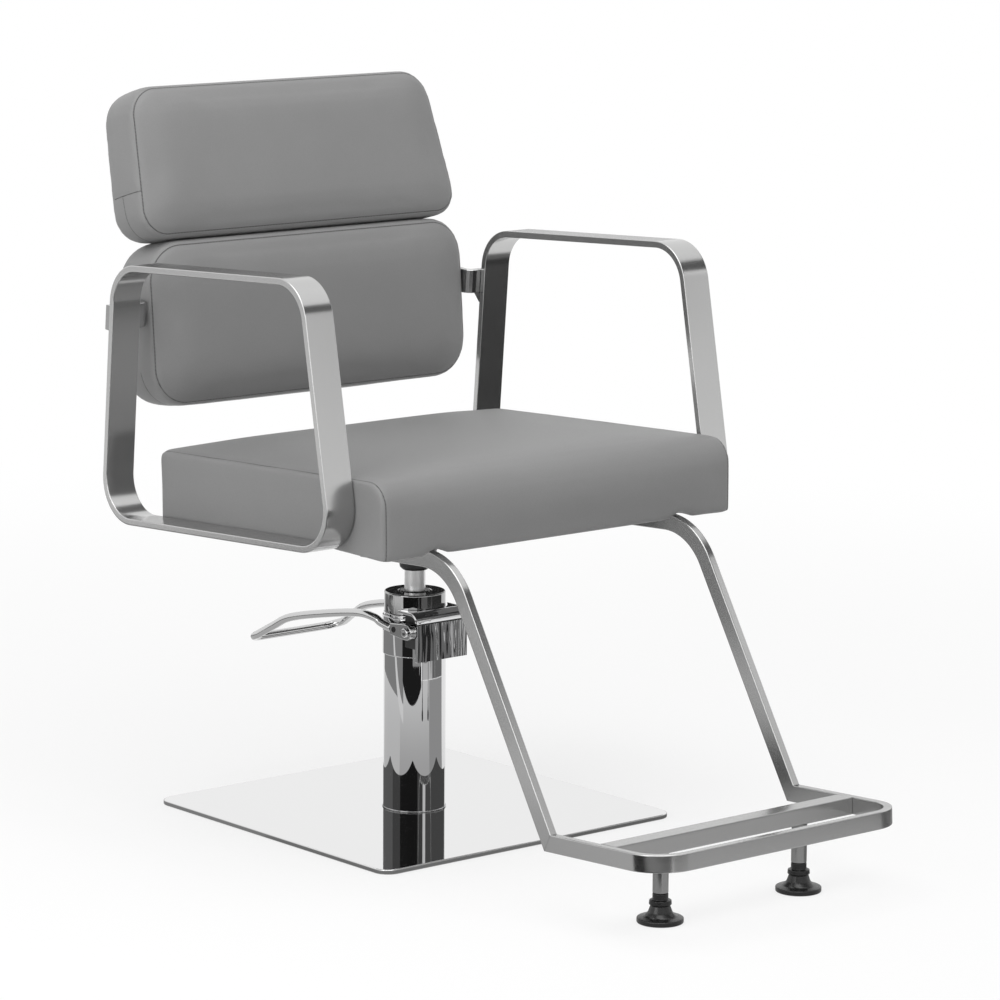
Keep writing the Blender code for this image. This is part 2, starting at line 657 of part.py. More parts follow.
tab = GAP + BRACKET_T / 2
wall = LOWER_HALF + PAD_BULGE + GAP + BRACKET_T / 2
tab_out = ARM_IN + BAR_W - BRACKET_OUT
for name, sign in (("left", -1), ("right", 1)):
    def bracket_space(x, run, rise, sign=sign):
        return behind_arm(sign * x, run, rise)
    line = rounded([(tab_out, tab), (wall, tab), (wall, BRACKET_RUN)], BRACKET_BEND, steps=5)
    bracket = bar(line, BRACKET_T, BRACKET_H, bracket_space, 0.0006)
    place("back_bracket_" + name, bracket, "dark_steel", tilt)
    under = -BRACKET_H / 2 - GAP
    rib = [(GAP, under), (GAP, -BRACKET_H / 2 - GUSSET_H), (GUSSET_RUN, under)]

    def gusset_space(run, rise, x, sign=sign):
        return behind_arm(sign * x, run, rise)
    gusset = extruded(rib, gusset_space, ARM_IN, ARM_IN + GUSSET_T)
    place("bracket_gusset_" + name, gusset, "dark_steel", tilt)

# Footrest: two bent legs from the front rail, a rounded front frame and a cross bar
leg_u = LEG_TOP - LEG_H / 2
rest_u = -REST_DROP
leg_start = -RAIL_Y - RAIL_W / 2 - GAP
drop = leg_u - rest_u
heel = -LEG_KNEE - drop * math.tan(LEG_ANGLE)
leg_path = rounded([(leg_start, leg_u), (-LEG_KNEE, leg_u), (heel, rest_u)], LEG_KNEE_R, steps=10)
mitre = math.tan((math.pi / 2 - LEG_ANGLE) / 2)
back_off = GAP / 2 / math.cos((math.pi / 2 - LEG_ANGLE) / 2)
end, way = leg_path[-1]
leg_path[-1] = (end - way * back_off, way)
for name, sign in (("left", -1), ("right", 1)):
    def at_leg(y, z, w, sign=sign):
        return (sign * LEG_X + w, y, z)
    leg = bar(leg_path, LEG_H, LEG_T, at_leg, lean=((0, 0), (mitre, 0)))
    place("footrest_leg_" + name, leg, "steel", tilt)
rest_y = -REST_FRONT + LEG_T / 2
rest_plan = [(-LEG_X, heel - back_off), (-LEG_X, rest_y), (LEG_X, rest_y), (LEG_X, heel - back_off)]
frame_path = rounded(rest_plan, REST_R, steps=8)
frame = bar(frame_path, LEG_T, LEG_H, lambda x, y, w: (x, y, rest_u + w), lean=((0, mitre), (0, -mitre)))
place("footrest_frame", frame, "steel", tilt)
bar_half = LEG_X - LEG_T / 2 - GAP
place("footrest_bar", block((-bar_half, -REST_BAR_FRONT, rest_u - LEG_H / 2),
      (bar_half, -REST_BAR_FRONT + REST_BAR_W, rest_u + LEG_H / 2), BAR_EDGE), "steel", tilt)

# Levelling feet under the cross bar, upright on the floor
rest_low = Vector((0, -REST_BAR_FRONT + FOOT_SET, rest_u - LEG_H / 2))
rest_low = Matrix.Rotation(-PITCH, 3, "X") @ rest_low
foot_y = rest_low.y
sleeve_top = FRAME_Z + rest_low.z - GAP / math.cos(PITCH)
stud_top = sleeve_top - STUD_CLEAR
neck_top = FOOT_H - GAP
for name, sign in (("left", -1), ("right", 1)):
    sleeve = turned([(STUD_R + GAP, sleeve_top), (SLEEVE_R, sleeve_top), (SLEEVE_R, FOOT_H + 0.001),
                     (SLEEVE_R - 0.001, FOOT_H), (STUD_R + GAP, FOOT_H)], 28)
    for vert in sleeve.verts:
        if vert.co.z > sleeve_top - 1e-5:
            vert.co.z -= vert.co.y * math.tan(PITCH)
        vert.co.z -= FRAME_Z
    place("foot_sleeve_" + name, sleeve, "chrome", swivel, at=(sign * FOOT_X, foot_y, 0))
    bell = [(FOOT_NECK, neck_top), (FOOT_NECK, neck_top - 0.007), (FOOT_BELL - 0.0015, neck_top - 0.0095),
            (FOOT_BELL, neck_top - 0.013), (FOOT_BELL + 0.0025, FOOT_RIM + 0.0055),
            (FOOT_R - 0.006, FOOT_RIM + 0.002), (FOOT_R - 0.001, FOOT_RIM), (FOOT_R, FOOT_RIM - 0.001),
            (FOOT_R, 0.0014), (FOOT_R - 0.0014, 0), (0, 0)]
    stud = [(0, stud_top), (STUD_R - 0.0006, stud_top), (STUD_R, stud_top - 0.0006), (STUD_R, neck_top)]
    level = turned(stud + bell, 32)
    bmesh.ops.translate(level, verts=level.verts, vec=(0, 0, -FRAME_Z))
    place("level_foot_" + name, level, "rubber", swivel, at=(sign * FOOT_X, foot_y, 0))

bpy.context.view_layer.update()
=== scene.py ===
import math

import bmesh
import bpy
import numpy as np
from mathutils import Matrix, Vector


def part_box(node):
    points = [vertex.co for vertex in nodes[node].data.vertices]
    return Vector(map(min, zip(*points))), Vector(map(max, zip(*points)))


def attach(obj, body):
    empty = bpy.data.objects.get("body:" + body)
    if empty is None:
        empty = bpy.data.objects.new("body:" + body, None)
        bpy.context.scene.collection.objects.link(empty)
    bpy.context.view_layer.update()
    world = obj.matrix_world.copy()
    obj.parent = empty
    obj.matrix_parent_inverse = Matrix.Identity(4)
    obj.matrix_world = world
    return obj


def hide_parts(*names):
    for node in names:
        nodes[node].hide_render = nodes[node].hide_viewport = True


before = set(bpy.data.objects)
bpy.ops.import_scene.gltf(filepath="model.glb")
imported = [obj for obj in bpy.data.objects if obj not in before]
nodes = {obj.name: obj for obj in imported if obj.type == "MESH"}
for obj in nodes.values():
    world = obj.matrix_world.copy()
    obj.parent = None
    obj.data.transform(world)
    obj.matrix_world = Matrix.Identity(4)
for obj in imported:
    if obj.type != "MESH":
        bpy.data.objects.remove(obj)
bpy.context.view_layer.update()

scene = bpy.context.scene
scene.view_settings.view_transform = "Standard"


class Wire:  # one socket of a node tree; arithmetic on it adds Math nodes
    def __init__(self, graph, socket):
        self.graph = graph
        self.socket = socket

    def maths(self, operation, other=None, swap=False):
        pair = [self] if other is None else [other, self] if swap else [self, other]
        return self.graph.add("ShaderNodeMath", {"operation": operation}, dict(enumerate(pair)))

    def __add__(self, other):
        return self.maths("ADD", other)

    def __radd__(self, other):
        return self.maths("ADD", other, True)

    def __sub__(self, other):
        return self.maths("SUBTRACT", other)

    def __rsub__(self, other):
        return self.maths("SUBTRACT", other, True)

    def __mul__(self, other):
        return self.maths("MULTIPLY", other)

    def __rmul__(self, other):
        return self.maths("MULTIPLY", other, True)

    def __abs__(self):
        return self.maths("ABSOLUTE")

    def least(self, other):
        return self.maths("MINIMUM", other)

    def most(self, other):
        return self.maths("MAXIMUM", other)

    def fade(self, near, far):  # 1 up to near, falling smoothly to 0 at far
        ends = {"Value": self, "From Min": near, "From Max": far, "To Min": 1.0, "To Max": 0.0}
        return self.graph.add("ShaderNodeMapRange", {"interpolation_type": "SMOOTHSTEP"}, ends)


class Graph:  # one node tree; add() makes any node in it
    def __init__(self, tree):
        self.tree = tree

    def add(self, kind, settings=None, sockets=None, out=0):
        made = self.tree.nodes.new(kind)
        for key, value in (settings or {}).items():
            setattr(made, key, value)
        for key, value in (sockets or {}).items():
            if isinstance(value, Wire):
                self.tree.links.new(value.socket, made.inputs[key])
            else:
                made.inputs[key].default_value = value
        if out is None:
            return [Wire(self, socket) for socket in made.outputs]
        return Wire(self, made.outputs[out])

    def shown(self):  # 1 for what the camera sees, by itself or in metal or glass
        rays = {wire.socket.name: wire for wire in self.add("ShaderNodeLightPath", out=None)}
        return rays["Is Camera Ray"].most(rays["Is Glossy Ray"]).most(rays["Is Transmission Ray"])


class Finish(Graph):  # one material with a Principled shader
    def __init__(self, name, fixed):
        self.material = bpy.data.materials.new(name)
        self.material.use_nodes = True
        super().__init__(self.material.node_tree)
        self.shader = self.tree.nodes["Principled BSDF"]
        for socket, value in fixed.items():
            self.shader.inputs[socket].default_value = value

    def feed(self, socket, wire):
        self.tree.links.new(wire.socket, self.shader.inputs[socket])

    def place(self):
        return self.add("ShaderNodeTexCoord", out="Object")

    def tint(self, factor, first, second):  # colour between first and second
        return self.add("ShaderNodeMix", {"data_type": "RGBA"}, {0: factor, 6: first, 7: second}, 2)

    def noise(self, place, scale, detail=3.0, rough=0.5):
        return self.add("ShaderNodeTexNoise", {}, {"Vector": place, "Scale": scale, "Detail": detail,
                                                   "Roughness": rough})

    def drawnNoise(self, place, scales, detail, rough=0.5):  # drawn out by a scale for each axis
        drawn = self.add("ShaderNodeMapping", {}, {"Vector": place, "Scale": scales})
        return self.noise(drawn, 1.0, detail, rough)

    def relief(self, height, reach):  # height in units of reach, which is in metres
        bump = self.add("ShaderNodeBump", {}, {"Strength": 1.0, "Distance": reach, "Height": height})
        self.feed("Normal", bump)


def grey(level):
    return (level, level, level, 1.0)


# camera at the photograph's place: azimuth and elevation of the view, roll, focal length on its sensor in mm
view = {"azimuth": -40.087, "elevation": 10.150, "roll": 0.381, "lens": 162.338, "sensor": 36.0,
        "spot": (-3.38119, -4.17651, 1.34854), "clip": (0.1, 200.0)}


def placeCamera():
    a, e, r = (math.radians(view[key]) for key in ("azimuth", "elevation", "roll"))
    back = Vector((math.sin(a) * math.cos(e), -math.cos(a) * math.cos(e), math.sin(e)))
    right = Vector((0, 0, 1)).cross(back).normalized()
    up = back.cross(right)
    rolledRight = right * math.cos(r) + up * math.sin(r)
    rolledUp = up * math.cos(r) - right * math.sin(r)
    lens = bpy.data.cameras.new("camera")
    lens.sensor_width, lens.lens = view["sensor"], view["lens"]
    lens.clip_start, lens.clip_end = view["clip"]
    made = bpy.data.objects.new("camera", lens)
    turn = Matrix((rolledRight, rolledUp, back)).transposed().to_4x4()
    made.matrix_world = Matrix.Translation(view["spot"]) @ turn
    scene.collection.objects.link(made)
    scene.camera = made


placeCamera()
print("camera placed")

# sizes that several pieces share, in metres; the seat frame is pitched back about X at its own height
chair = {"frameHeight": 0.3744, "pitch": math.radians(2.9), "barEdge": 0.0009, "gap": 0.0003}
sides = (("left", -1), ("right", 1))


def tilted(x, y, u):
    # a point of the pitched seat frame: turned about X by the pitch, then lifted to the frame's height
    c, s = math.cos(chair["pitch"]), math.sin(chair["pitch"])
    return np.stack(np.broadcast_arrays(x, y * c + u * s, chair["frameHeight"] + u * c - y * s), -1)


def unit(way):
    return way / np.linalg.norm(way, axis=-1, keepdims=True)


def roundedPath(corners, radius, closed=False, arcSteps=16, spacing=0.02, support=0.002):
    # straight runs joined by arcs that touch both; returns points and directions
    # each run gets a point close to both ends and evenly spaced ones between, so flats stay flat when shaded
    corners = np.array(corners, float)
    count = len(corners)
    radii = np.broadcast_to(radius, count)
    bends = []
    for i in range(count):
        here = corners[i]
        if not closed and i in (0, count - 1):
            way = corners[1] - here if i == 0 else here - corners[i - 1]
            bends.append((here[None], unit(way)[None]))
            continue
        into, out = unit(here - corners[i - 1]), unit(corners[(i + 1) % count] - here)
        left = np.array([-into[1], into[0]])
        turn = math.atan2(left @ out, into @ out)
        bend = math.copysign(radii[i], turn)
        centre = here - into * radii[i] * math.tan(abs(turn) / 2) + bend * left
        angle = np.linspace(0, turn, arcSteps + 1)[:, None]
        way = into * np.cos(angle) + left * np.sin(angle)
        bends.append((centre - bend * np.stack([-way[:, 1], way[:, 0]], 1), way))
    points, ways = [], []
    for i, (spots, way) in enumerate(bends):
        points.append(spots)
        ways.append(way)
        if i == count - 1 and not closed:
            break
        first, last = spots[-1], bends[(i + 1) % count][0][0]
        length = np.linalg.norm(last - first)
        if length > 2.5 * support:
            steps = max(2, int(length / spacing) + 1)
            inner = np.linspace(support, length - support, steps)[:, None] / length
            points.append(first + (last - first) * inner)
            ways.append(np.repeat(unit(last - first)[None], len(inner), 0))
    return np.concatenate(points), np.concatenate(ways)


def runLength(points, closed=False):
    # distance along the points, with the closing step added when the run is closed
    line = np.concatenate([points, points[:1]]) if closed else points
    steps = np.linalg.norm(np.diff(line, axis=0), axis=1)
    return np.concatenate([[0], np.cumsum(steps)])


def barSection(thick, width, edge):
    # a rectangle with rounded edges, as (across the path, across its plane)
    a, b = thick / 2, width / 2
    return roundedPath([(-a, -b), (a, -b), (a, b), (-a, b)], edge, True, 5, 0.01, 0.0006)[0]


def sweepBar(path, ways, section, first=(0, 0), last=(0, 0)):
    # section point (a, b) is carried to path + a * square to the path; b lies across the path's plane
    # first and last shear the end sections along the path, for mitres
    side = np.stack([-ways[:, 1], ways[:, 0]], 1)
    shear = np.zeros((len(path), 2))
    shear[0], shear[-1] = first, last
    shift = shear @ section.T
    flat = path[:, None] + section[None, :, :1] * side[:, None] + shift[..., None] * ways[:, None]
    return flat[..., 0], flat[..., 1], np.broadcast_to(section[:, 1], shift.shape)


def lathe(profile, centre=(0.0, 0.0), steps=96):
    # each (radius, height) point is carried round the vertical line through centre
    turn = np.linspace(0, 2 * math.pi, steps, endpoint=False)
    radius, height = profile[:, :1], profile[:, 1:]
    x, y = centre[0] + radius * np.cos(turn), centre[1] + radius * np.sin(turn)
    return np.stack(np.broadcast_arrays(x, y, height), -1)


def softEdges(thick, edge, steps, lowInset, topInsets):
    # inset and height of a plate's rings: quarter rounds at both edges, and further rings on its two faces
    arc = np.linspace(0, math.pi / 2, steps)
    inset = np.concatenate([[lowInset], edge * (1 - np.sin(arc)), edge * (1 - np.cos(arc)), topInsets])
    rise = [[0.0], edge * (1 - np.cos(arc)), thick - edge * (1 - np.sin(arc)), [thick] * len(topInsets)]
    return inset, np.concatenate(rise)


def surface(name, grid, finish, body, wrap=(False, True), caps=True, uv=None, sharp=40.0, stands=()):
    # neighbours on the grid are joined by quads, a wrapped direction closes on itself, caps fill open ends
    rows, columns = grid.shape[:2]
    index = np.arange(rows * columns).reshape(rows, columns)
    net = np.vstack([index, index[:1]]) if wrap[0] else index
    net = np.hstack([net, net[:, :1]]) if wrap[1] else net
    corners = ((slice(None, -1), slice(None, -1)), (slice(None, -1), slice(1, None)),
               (slice(1, None), slice(1, None)), (slice(1, None), slice(None, -1)))
    faces = np.stack([net[c] for c in corners], -1).reshape(-1, 4).tolist()
    ends = [index[0].tolist(), index[-1].tolist()] if caps and not wrap[0] else []
    mesh = bpy.data.meshes.new(name)
    mesh.from_pydata(grid.reshape(-1, 3), [], faces + ends)
    if uv is not None:
        sheet = np.stack(np.meshgrid(uv[0], uv[1], indexing="ij"), -1)
        loops = [np.stack([sheet[c] for c in corners], 2).reshape(-1, 2)]
        loops += [sheet[end, :columns] for end in ((0, -1) if ends else ())]
        mesh.uv_layers.new(name="run").data.foreach_set("uv", np.concatenate(loops).ravel())
    return finished(name, mesh, finish, body, sharp, stands)


def turned(name, profile, finish, body="base", stands=(), steps=128, closed=True,
           centre=(0.0, 0.0), sharp=40.0):
    # a lathe piece: a closed profile makes a ring, an open one starts and ends on the line it turns about
    grid = lathe(profile, centre, steps)
    surface(name, grid, finish, body, (closed, True), False, None, sharp, stands)


def finished(name, mesh, finish, body, sharp=40.0, stands=()):
    # doubles are merged, faces turned outwards, edges over the sharp angle kept crisp
    work = bmesh.new()
    work.from_mesh(mesh)
    bmesh.ops.remove_doubles(work, verts=work.verts, dist=1e-7)
    bmesh.ops.recalc_face_normals(work, faces=work.faces)
    work.to_mesh(mesh)
    work.free()
    mesh.shade_smooth()
    mesh.set_sharp_from_angle(angle=math.radians(sharp))
    mesh.materials.append(finish.material)
    made = bpy.data.objects.new(name, mesh)
    scene.collection.objects.link(made)
    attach(made, body)
    if stands:
        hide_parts(*stands)
    return made


# upholstery: mid grey coated fabric with a fine pebble, darker and puckered at its seams
leatherLook = {"colour": 0.235, "rough": 0.47, "pebble": 900.0, "grain": 2600.0, "cloud": 9.0,
               "pucker": 140.0, "seamHalf": 0.0008, "stitch": 0.0045, "puckerReach": 0.007, "relief": 0.001}


def leatherFinish(name, seamGap):
    look = leatherLook
    made = Finish(name, {"Specular IOR Level": 0.42, "Sheen Weight": 0.06, "Sheen Roughness": 0.4})
    place = made.place()
    x, y, z = made.add("ShaderNodeSeparateXYZ", {}, {0: place}, None)
    seam = seamGap(x, y, z)
    cells = made.add("ShaderNodeTexVoronoi", {"feature": "SMOOTH_F1"},
                     {"Vector": place, "Scale": look["pebble"], "Smoothness": 0.6}, "Distance")
    fine = made.noise(place, look["grain"], 2.0)
    cloud = made.noise(place, look["cloud"], 4.0, 0.6)
    pucker = made.noise(place, look["pucker"], 2.0)
    core = seam.fade(0.2 * look["seamHalf"], look["seamHalf"])
    near = seam.fade(0.0, look["puckerReach"])
    level = look["colour"]
    mottled = made.tint(0.5 + 1.6 * (cloud - 0.5), grey(level * 0.955), grey(level * 1.045))
    pitted = made.tint(cells * 0.35, mottled, grey(level * 0.82))
    beat = ((x + z) * (2 * math.pi / look["stitch"])).maths("SINE")
    made.feed("Base Color", made.tint(core * (0.66 + 0.16 * beat), pitted, grey(level * 0.24)))
    made.feed("Roughness", look["rough"] + 0.10 * (cloud - 0.5) + 0.10 * cells + 0.2 * core)
    sewn = (0.70 + 0.20 * beat) * core
    made.relief(0.05 * fine - 0.07 * cells - sewn + 0.22 * near * (pucker - 0.5), look["relief"])
    return made


# brushed bar: streaks run along the bar, on its own run map (metres along, metres round)
steelLook = {"colour": 0.56, "rough": 0.19, "streak": (4.0, 900.0, 1.0), "hair": (22.0, 3800.0, 1.0),
             "blotch": 14.0, "relief": 0.000004}


def brushedFinish(name, shade=1.0):
    made = Finish(name, {"Metallic": 1.0})
    run = made.add("ShaderNodeTexCoord", out="UV")
    streak = made.drawnNoise(run, steelLook["streak"], 5.0, 0.65)
    hair = made.drawnNoise(run, steelLook["hair"], 2.0)
    blotch = made.noise(made.place(), steelLook["blotch"], 3.0)
    both = 0.6 * streak + 0.4 * hair
    level = steelLook["colour"] * shade
    light = (level * 1.05, level * 1.05, level * 1.04, 1.0)
    made.feed("Base Color", made.tint(both, grey(level * 0.95), light))
    made.feed("Roughness", steelLook["rough"] + 0.09 * (both - 0.5) + 0.05 * (blotch - 0.5))
    made.relief(both, steelLook["relief"])
    return made


# mirror chrome with faint smears; the metal under it is never quite flat, so long low waves run over it
chromeLook = {"colour": (0.74, 0.74, 0.745, 1.0), "rough": 0.012, "smear": 26.0, "speck": 700.0,
              "wave": 0.00012, "long": (30.0, 30.0, 9.0)}


def chromeFinish(name, colour, rough, wave=chromeLook["wave"], long=chromeLook["long"]):
    made = Finish(name, {"Metallic": 1.0, "Base Color": colour})
    place = made.place()
    smear = made.noise(place, chromeLook["smear"], 5.0, 0.62)
    speck = made.noise(place, chromeLook["speck"], 2.0)
    made.feed("Roughness", rough + 0.03 * (1.0 - smear.fade(0.52, 0.75)) + 0.008 * speck)
    made.relief(made.drawnNoise(place, long, 1.0), wave)
    return made


# base plate: mirror face and plain cut edge, which is all that lies lower than the face by a millimetre
plateLook = {"colour": 0.78, "edge": 0.30, "rough": 0.02, "smear": 14.0, "speck": 500.0, "face": 0.006,
             "cut": (0.0004, 0.0012)}


def plateFinish(name):
    made = Finish(name, {"Metallic": 1.0})
    place = made.place()
    z = made.add("ShaderNodeSeparateXYZ", {}, {0: place}, "Z")
    smear = made.noise(place, plateLook["smear"], 5.0, 0.62)
    speck = made.noise(place, plateLook["speck"], 2.0)
    edge = 1.0 - (plateLook["face"] - z).fade(*plateLook["cut"])
    made.feed("Base Color", made.tint(edge, grey(plateLook["colour"]), grey(plateLook["edge"])))
    smeared = 0.03 * (1.0 - smear.fade(0.5, 0.8))
    made.feed("Roughness", plateLook["rough"] + smeared + 0.01 * speck + 0.30 * edge)
    return made


# black satin paint with a slight orange peel, and the moulded black of the feet
paintLook = {"dark": 0.011, "light": 0.026, "rough": 0.30, "dust": 30.0, "fine": 420.0, "relief": 0.00012}
footLook = {"dark": 0.004, "light": 0.010, "rough": 0.18, "dust": 60.0, "fine": 900.0, "relief": 0.00004}


def blackFinish(name, look):
    made = Finish(name, {"Specular IOR Level": 0.5})
    place = made.place()
    fine = made.noise(place, look["fine"], 2.0)
    dust = made.noise(place, look["dust"], 4.0)
    made.feed("Base Color", made.tint(dust, grey(look["dark"]), grey(look["light"])))
    made.feed("Roughness", look["rough"] + 0.16 * dust)
    made.relief(fine, look["relief"])
    return made


# rolled strip of the brackets: its grain runs across the chair
stripLook = {"dark": 0.38, "light": 0.48, "rough": 0.06, "grain": (20.0, 700.0, 700.0)}


def plainSteelFinish(name):
    made = Finish(name, {"Metallic": 1.0})
    grain = made.drawnNoise(made.place(), stripLook["grain"], 3.0)
    made.feed("Base Color", made.tint(grain, grey(stripLook["dark"]), grey(stripLook["light"])))
    made.feed("Roughness", stripLook["rough"] + 0.08 * grain)
    return made


# black non-woven lining with a press pattern
liningLook = {"dark": 0.010, "light": 0.034, "rough": 0.78, "dots": 420.0, "fluff": 1500.0, "relief": 0.0004}


def liningFinish(name):
    made = Finish(name, {"Specular IOR Level": 0.25, "Sheen Weight": 0.15, "Sheen Roughness": 0.6})
    place = made.place()
    dots = made.add("ShaderNodeTexVoronoi", {},
                    {"Vector": place, "Scale": liningLook["dots"], "Randomness": 0.55}, "Distance")
    fluff = made.noise(place, liningLook["fluff"], 4.0, 0.7)
    pits = dots.fade(0.2, 0.45)
    share = 0.6 * fluff + 0.4 * (1.0 - pits)
    made.feed("Base Color", made.tint(share, grey(liningLook["dark"]), grey(liningLook["light"])))
    made.feed("Roughness", liningLook["rough"] + 0.18 * fluff)
    made.relief(0.5 * fluff - 0.6 * pits, liningLook["relief"])
    return made


steel = brushedFinish("brushedSteel")
chrome = chromeFinish("mirrorChrome", chromeLook["colour"], chromeLook["rough"])
# painted shade: the cap is the column's chrome made darker, standing in for the dark surroundings it reflects
shadedCapChrome = chromeFinish("shadedCapChrome", grey(0.40), 0.05)
coverChrome = chromeFinish("coverChrome", chromeLook["colour"], 0.02, 0.00022, (95.0, 40.0, 12.0))
ramChrome = chromeFinish("ramChrome", grey(0.80), 0.36)
# painted shade: the pedal's loop and lugs are the column's chrome made darker, for the darker reflections
# they show
shadedPedalChrome = chromeFinish("shadedPedalChrome", grey(0.62), 0.07)
plateChrome = plateFinish("plateChrome")
# painted shade: the foot sleeves' brushed steel is made darker, for the darker reflections they show
shadedSteel = brushedFinish("shadedSteel", 0.62)
paint = blackFinish("blackPaint", paintLook)
bracketSteel = plainSteelFinish("bracketSteel")
footBlack = blackFinish("footBlack", footLook)
lining = liningFinish("blackLining")
print("finishes ready")


def padAxes(lean):
    # depth and height directions of a pad that leans back in the pitched frame, in (y, z)
    angle = lean + chair["pitch"]
    return (math.cos(angle), -math.sin(angle)), (math.sin(angle), math.cos(angle))


def padOrigin(pad):
    return tilted(0.0, pad["y"], pad["u"])


def roundedRings(halves, tops, lows, highs, radii, arcSteps=14, sideSteps=18):
    # one rounded rectangle per ring in (x, height); the upper edge may be narrower than the lower
    block = arcSteps + 1
    quarter = np.linspace(0, math.pi / 2, block)
    turn = np.concatenate([quarter + k * math.pi / 2 for k in range(4)])
    signX = np.repeat([1, -1, -1, 1], block)
    signZ = np.repeat([1, 1, -1, -1], block)
    sizes = (halves, tops, lows, highs, radii)
    halves, tops, lows, highs, radii = (np.asarray(size, float)[:, None] for size in sizes)
    tall = (highs - lows) / 2
    x = signX * (halves - radii) + radii * np.cos(turn)
    z = signZ * (tall - radii) + radii * np.sin(turn)
    share = np.linspace(0, 1, sideSteps + 2)[1:-1]

    def withSides(line):  # four corners, each followed by its straight side
        runs = []
        for k in range(4):
            corner, following = line[:, k * block:(k + 1) * block], (k + 1) % 4 * block
            end = corner[:, -1:]
            runs += [corner, end + (line[:, following:following + 1] - end) * share]
        return np.concatenate(runs, 1)
    x, z = withSides(x), withSides(z)
    x = x * (1 + (tops / halves - 1) * (z + tall) / (2 * tall))
    return x, z + (lows + highs) / 2


# back pads: sizes along each pad's own lean; the front seam follows the outline at an inset
lowerPad = {"y": 0.191, "u": 0.130, "lean": math.radians(2.0), "half": 0.2455, "topHalf": 0.2455,
            "height": 0.2015, "thick": 0.064, "corner": 0.050, "crown": 0.010, "bulge": 0.001, "rim": 0.0065,
            "lowTuck": 0.0, "highTuck": 0.0060, "lowMore": 0.0, "highMore": 0.0013, "seam": 0.0055,
            "rearSeam": 0.024, "rearTop": 0.045, "crossSeam": None}
upperPad = {"y": 0.199, "u": 0.33438, "lean": math.radians(14.0), "half": 0.2475, "topHalf": 0.2300,
            "height": 0.1895, "thick": 0.060, "corner": 0.039, "crown": 0.010, "bulge": 0.001, "rim": 0.0065,
            "lowTuck": 0.0060, "highTuck": 0.0, "lowMore": 0.0013, "highMore": 0.0, "seam": 0.0055,
            "rearSeam": 0.030, "rearTop": 0.0605, "crossSeam": 0.0605}
padForm = {"rearRound": 0.007, "rearInset": 0.016, "rimLift": 0.0022, "rimShare": 0.8, "side": (0.15, 0.85),
           "middle": 0.012, "crownPower": 2.6, "insetPower": 1.35, "leastCorner": 0.006, "held": 0.004,
           "seamReach": 0.012, "crossReach": 0.049, "endSlope": 4.0}
padFill = {"voxel": 0.0042, "pressure": 4.0, "stiff": 25.0, "bend": 2.0, "cap": 0.005, "shrink": 0.0012,
           "calm": 40, "relax": 3, "crease": 0.10, "seamDepth": 0.0009, "seamWidth": 0.0034, "full": 0.9,
           "frames": 20, "quality": 5, "mass": 0.3}


def padShell(pad, shrink):
    # rings from the rear face round the edge to the front: quarter round at the rear, gently bulged side,
    # quarter round at the front rim, then a crown that rises as 1 - (1 - run)^2.6
    form, thick, rim = padForm, pad["thick"], pad["rim"]
    arc = np.linspace(0, math.pi / 2, 9)
    rearDepth = thick - form["rearRound"] * (1 - np.sin(arc[::-1]))
    rearInset = form["rearRound"] * (1 - np.cos(arc[::-1]))
    side = np.linspace(*form["side"], 12)
    sideDepth, sideInset = thick * (1 - side), -pad["bulge"] * np.sin(math.pi * side)
    rimDepth = rim * (1 - np.sin(arc)) - form["rimLift"]
    rimInset = rim * (1 - np.cos(arc)) * form["rimShare"]
    run = np.linspace(0, 1, 40)[1:]
    start, reach = rimInset[-1], pad["height"] / 2 - form["middle"]
    crownRise = 1 - (1 - run) ** form["crownPower"]
    crownDepth = -form["rimLift"] - (pad["crown"] - form["rimLift"]) * crownRise
    crownInset = start + (reach - start) * run ** form["insetPower"]
    depth = np.concatenate([[thick], rearDepth, sideDepth, rimDepth, crownDepth])
    inset = np.concatenate([[form["rearInset"]], rearInset, sideInset, rimInset, crownInset]) + shrink
    share = np.maximum(depth, 0) / thick
    low = inset + pad["lowTuck"] * share - pad["lowMore"]
    high = pad["height"] - inset - pad["highTuck"] * share + pad["highMore"]
    radius = np.maximum(pad["corner"] - inset, form["leastCorner"])
    x, along = roundedRings(pad["half"] - inset, pad["topHalf"] - inset, low, high, radius)
    (dy, dz), (ay, az) = padAxes(pad["lean"])
    spot = padOrigin(pad)
    depth = depth[:, None]
    return np.stack([x, spot[1] + depth * dy + along * ay, spot[2] + depth * dz + along * az], -1)


def most(a, b):  # these three serve numbers and sockets alike
    return a.most(b) if isinstance(a, Wire) else np.maximum(a, b)


def least(a, b):
    return a.least(b) if isinstance(a, Wire) else np.minimum(a, b)


def root(a):
    return a.maths("SQRT") if isinstance(a, Wire) else np.sqrt(a)


def coordinates(mesh, normals=False):
    source, key = (mesh.vertex_normals, "vector") if normals else (mesh.vertices, "co")
    spots = np.empty(len(mesh.vertices) * 3, np.float32)
    source.foreach_get(key, spots)
    return spots.reshape(-1, 3).astype(float)


def movePoints(mesh, spots):
    mesh.vertices.foreach_set("co", spots.astype(np.float32).ravel())
    mesh.update()


def evenSkin(piece, fill):
    # the closed form is meshed anew with even quads, then relaxed a little
    change = piece.modifiers.new("even", "REMESH")
    change.mode, change.voxel_size = "VOXEL", fill["voxel"]
    relax = piece.modifiers.new("relax", "SMOOTH")
    relax.factor, relax.iterations = 0.5, fill["relax"]
    graph = bpy.context.evaluated_depsgraph_get()
    mesh = bpy.data.meshes.new_from_object(piece.evaluated_get(graph))
    piece.modifiers.clear()
    piece.data = mesh


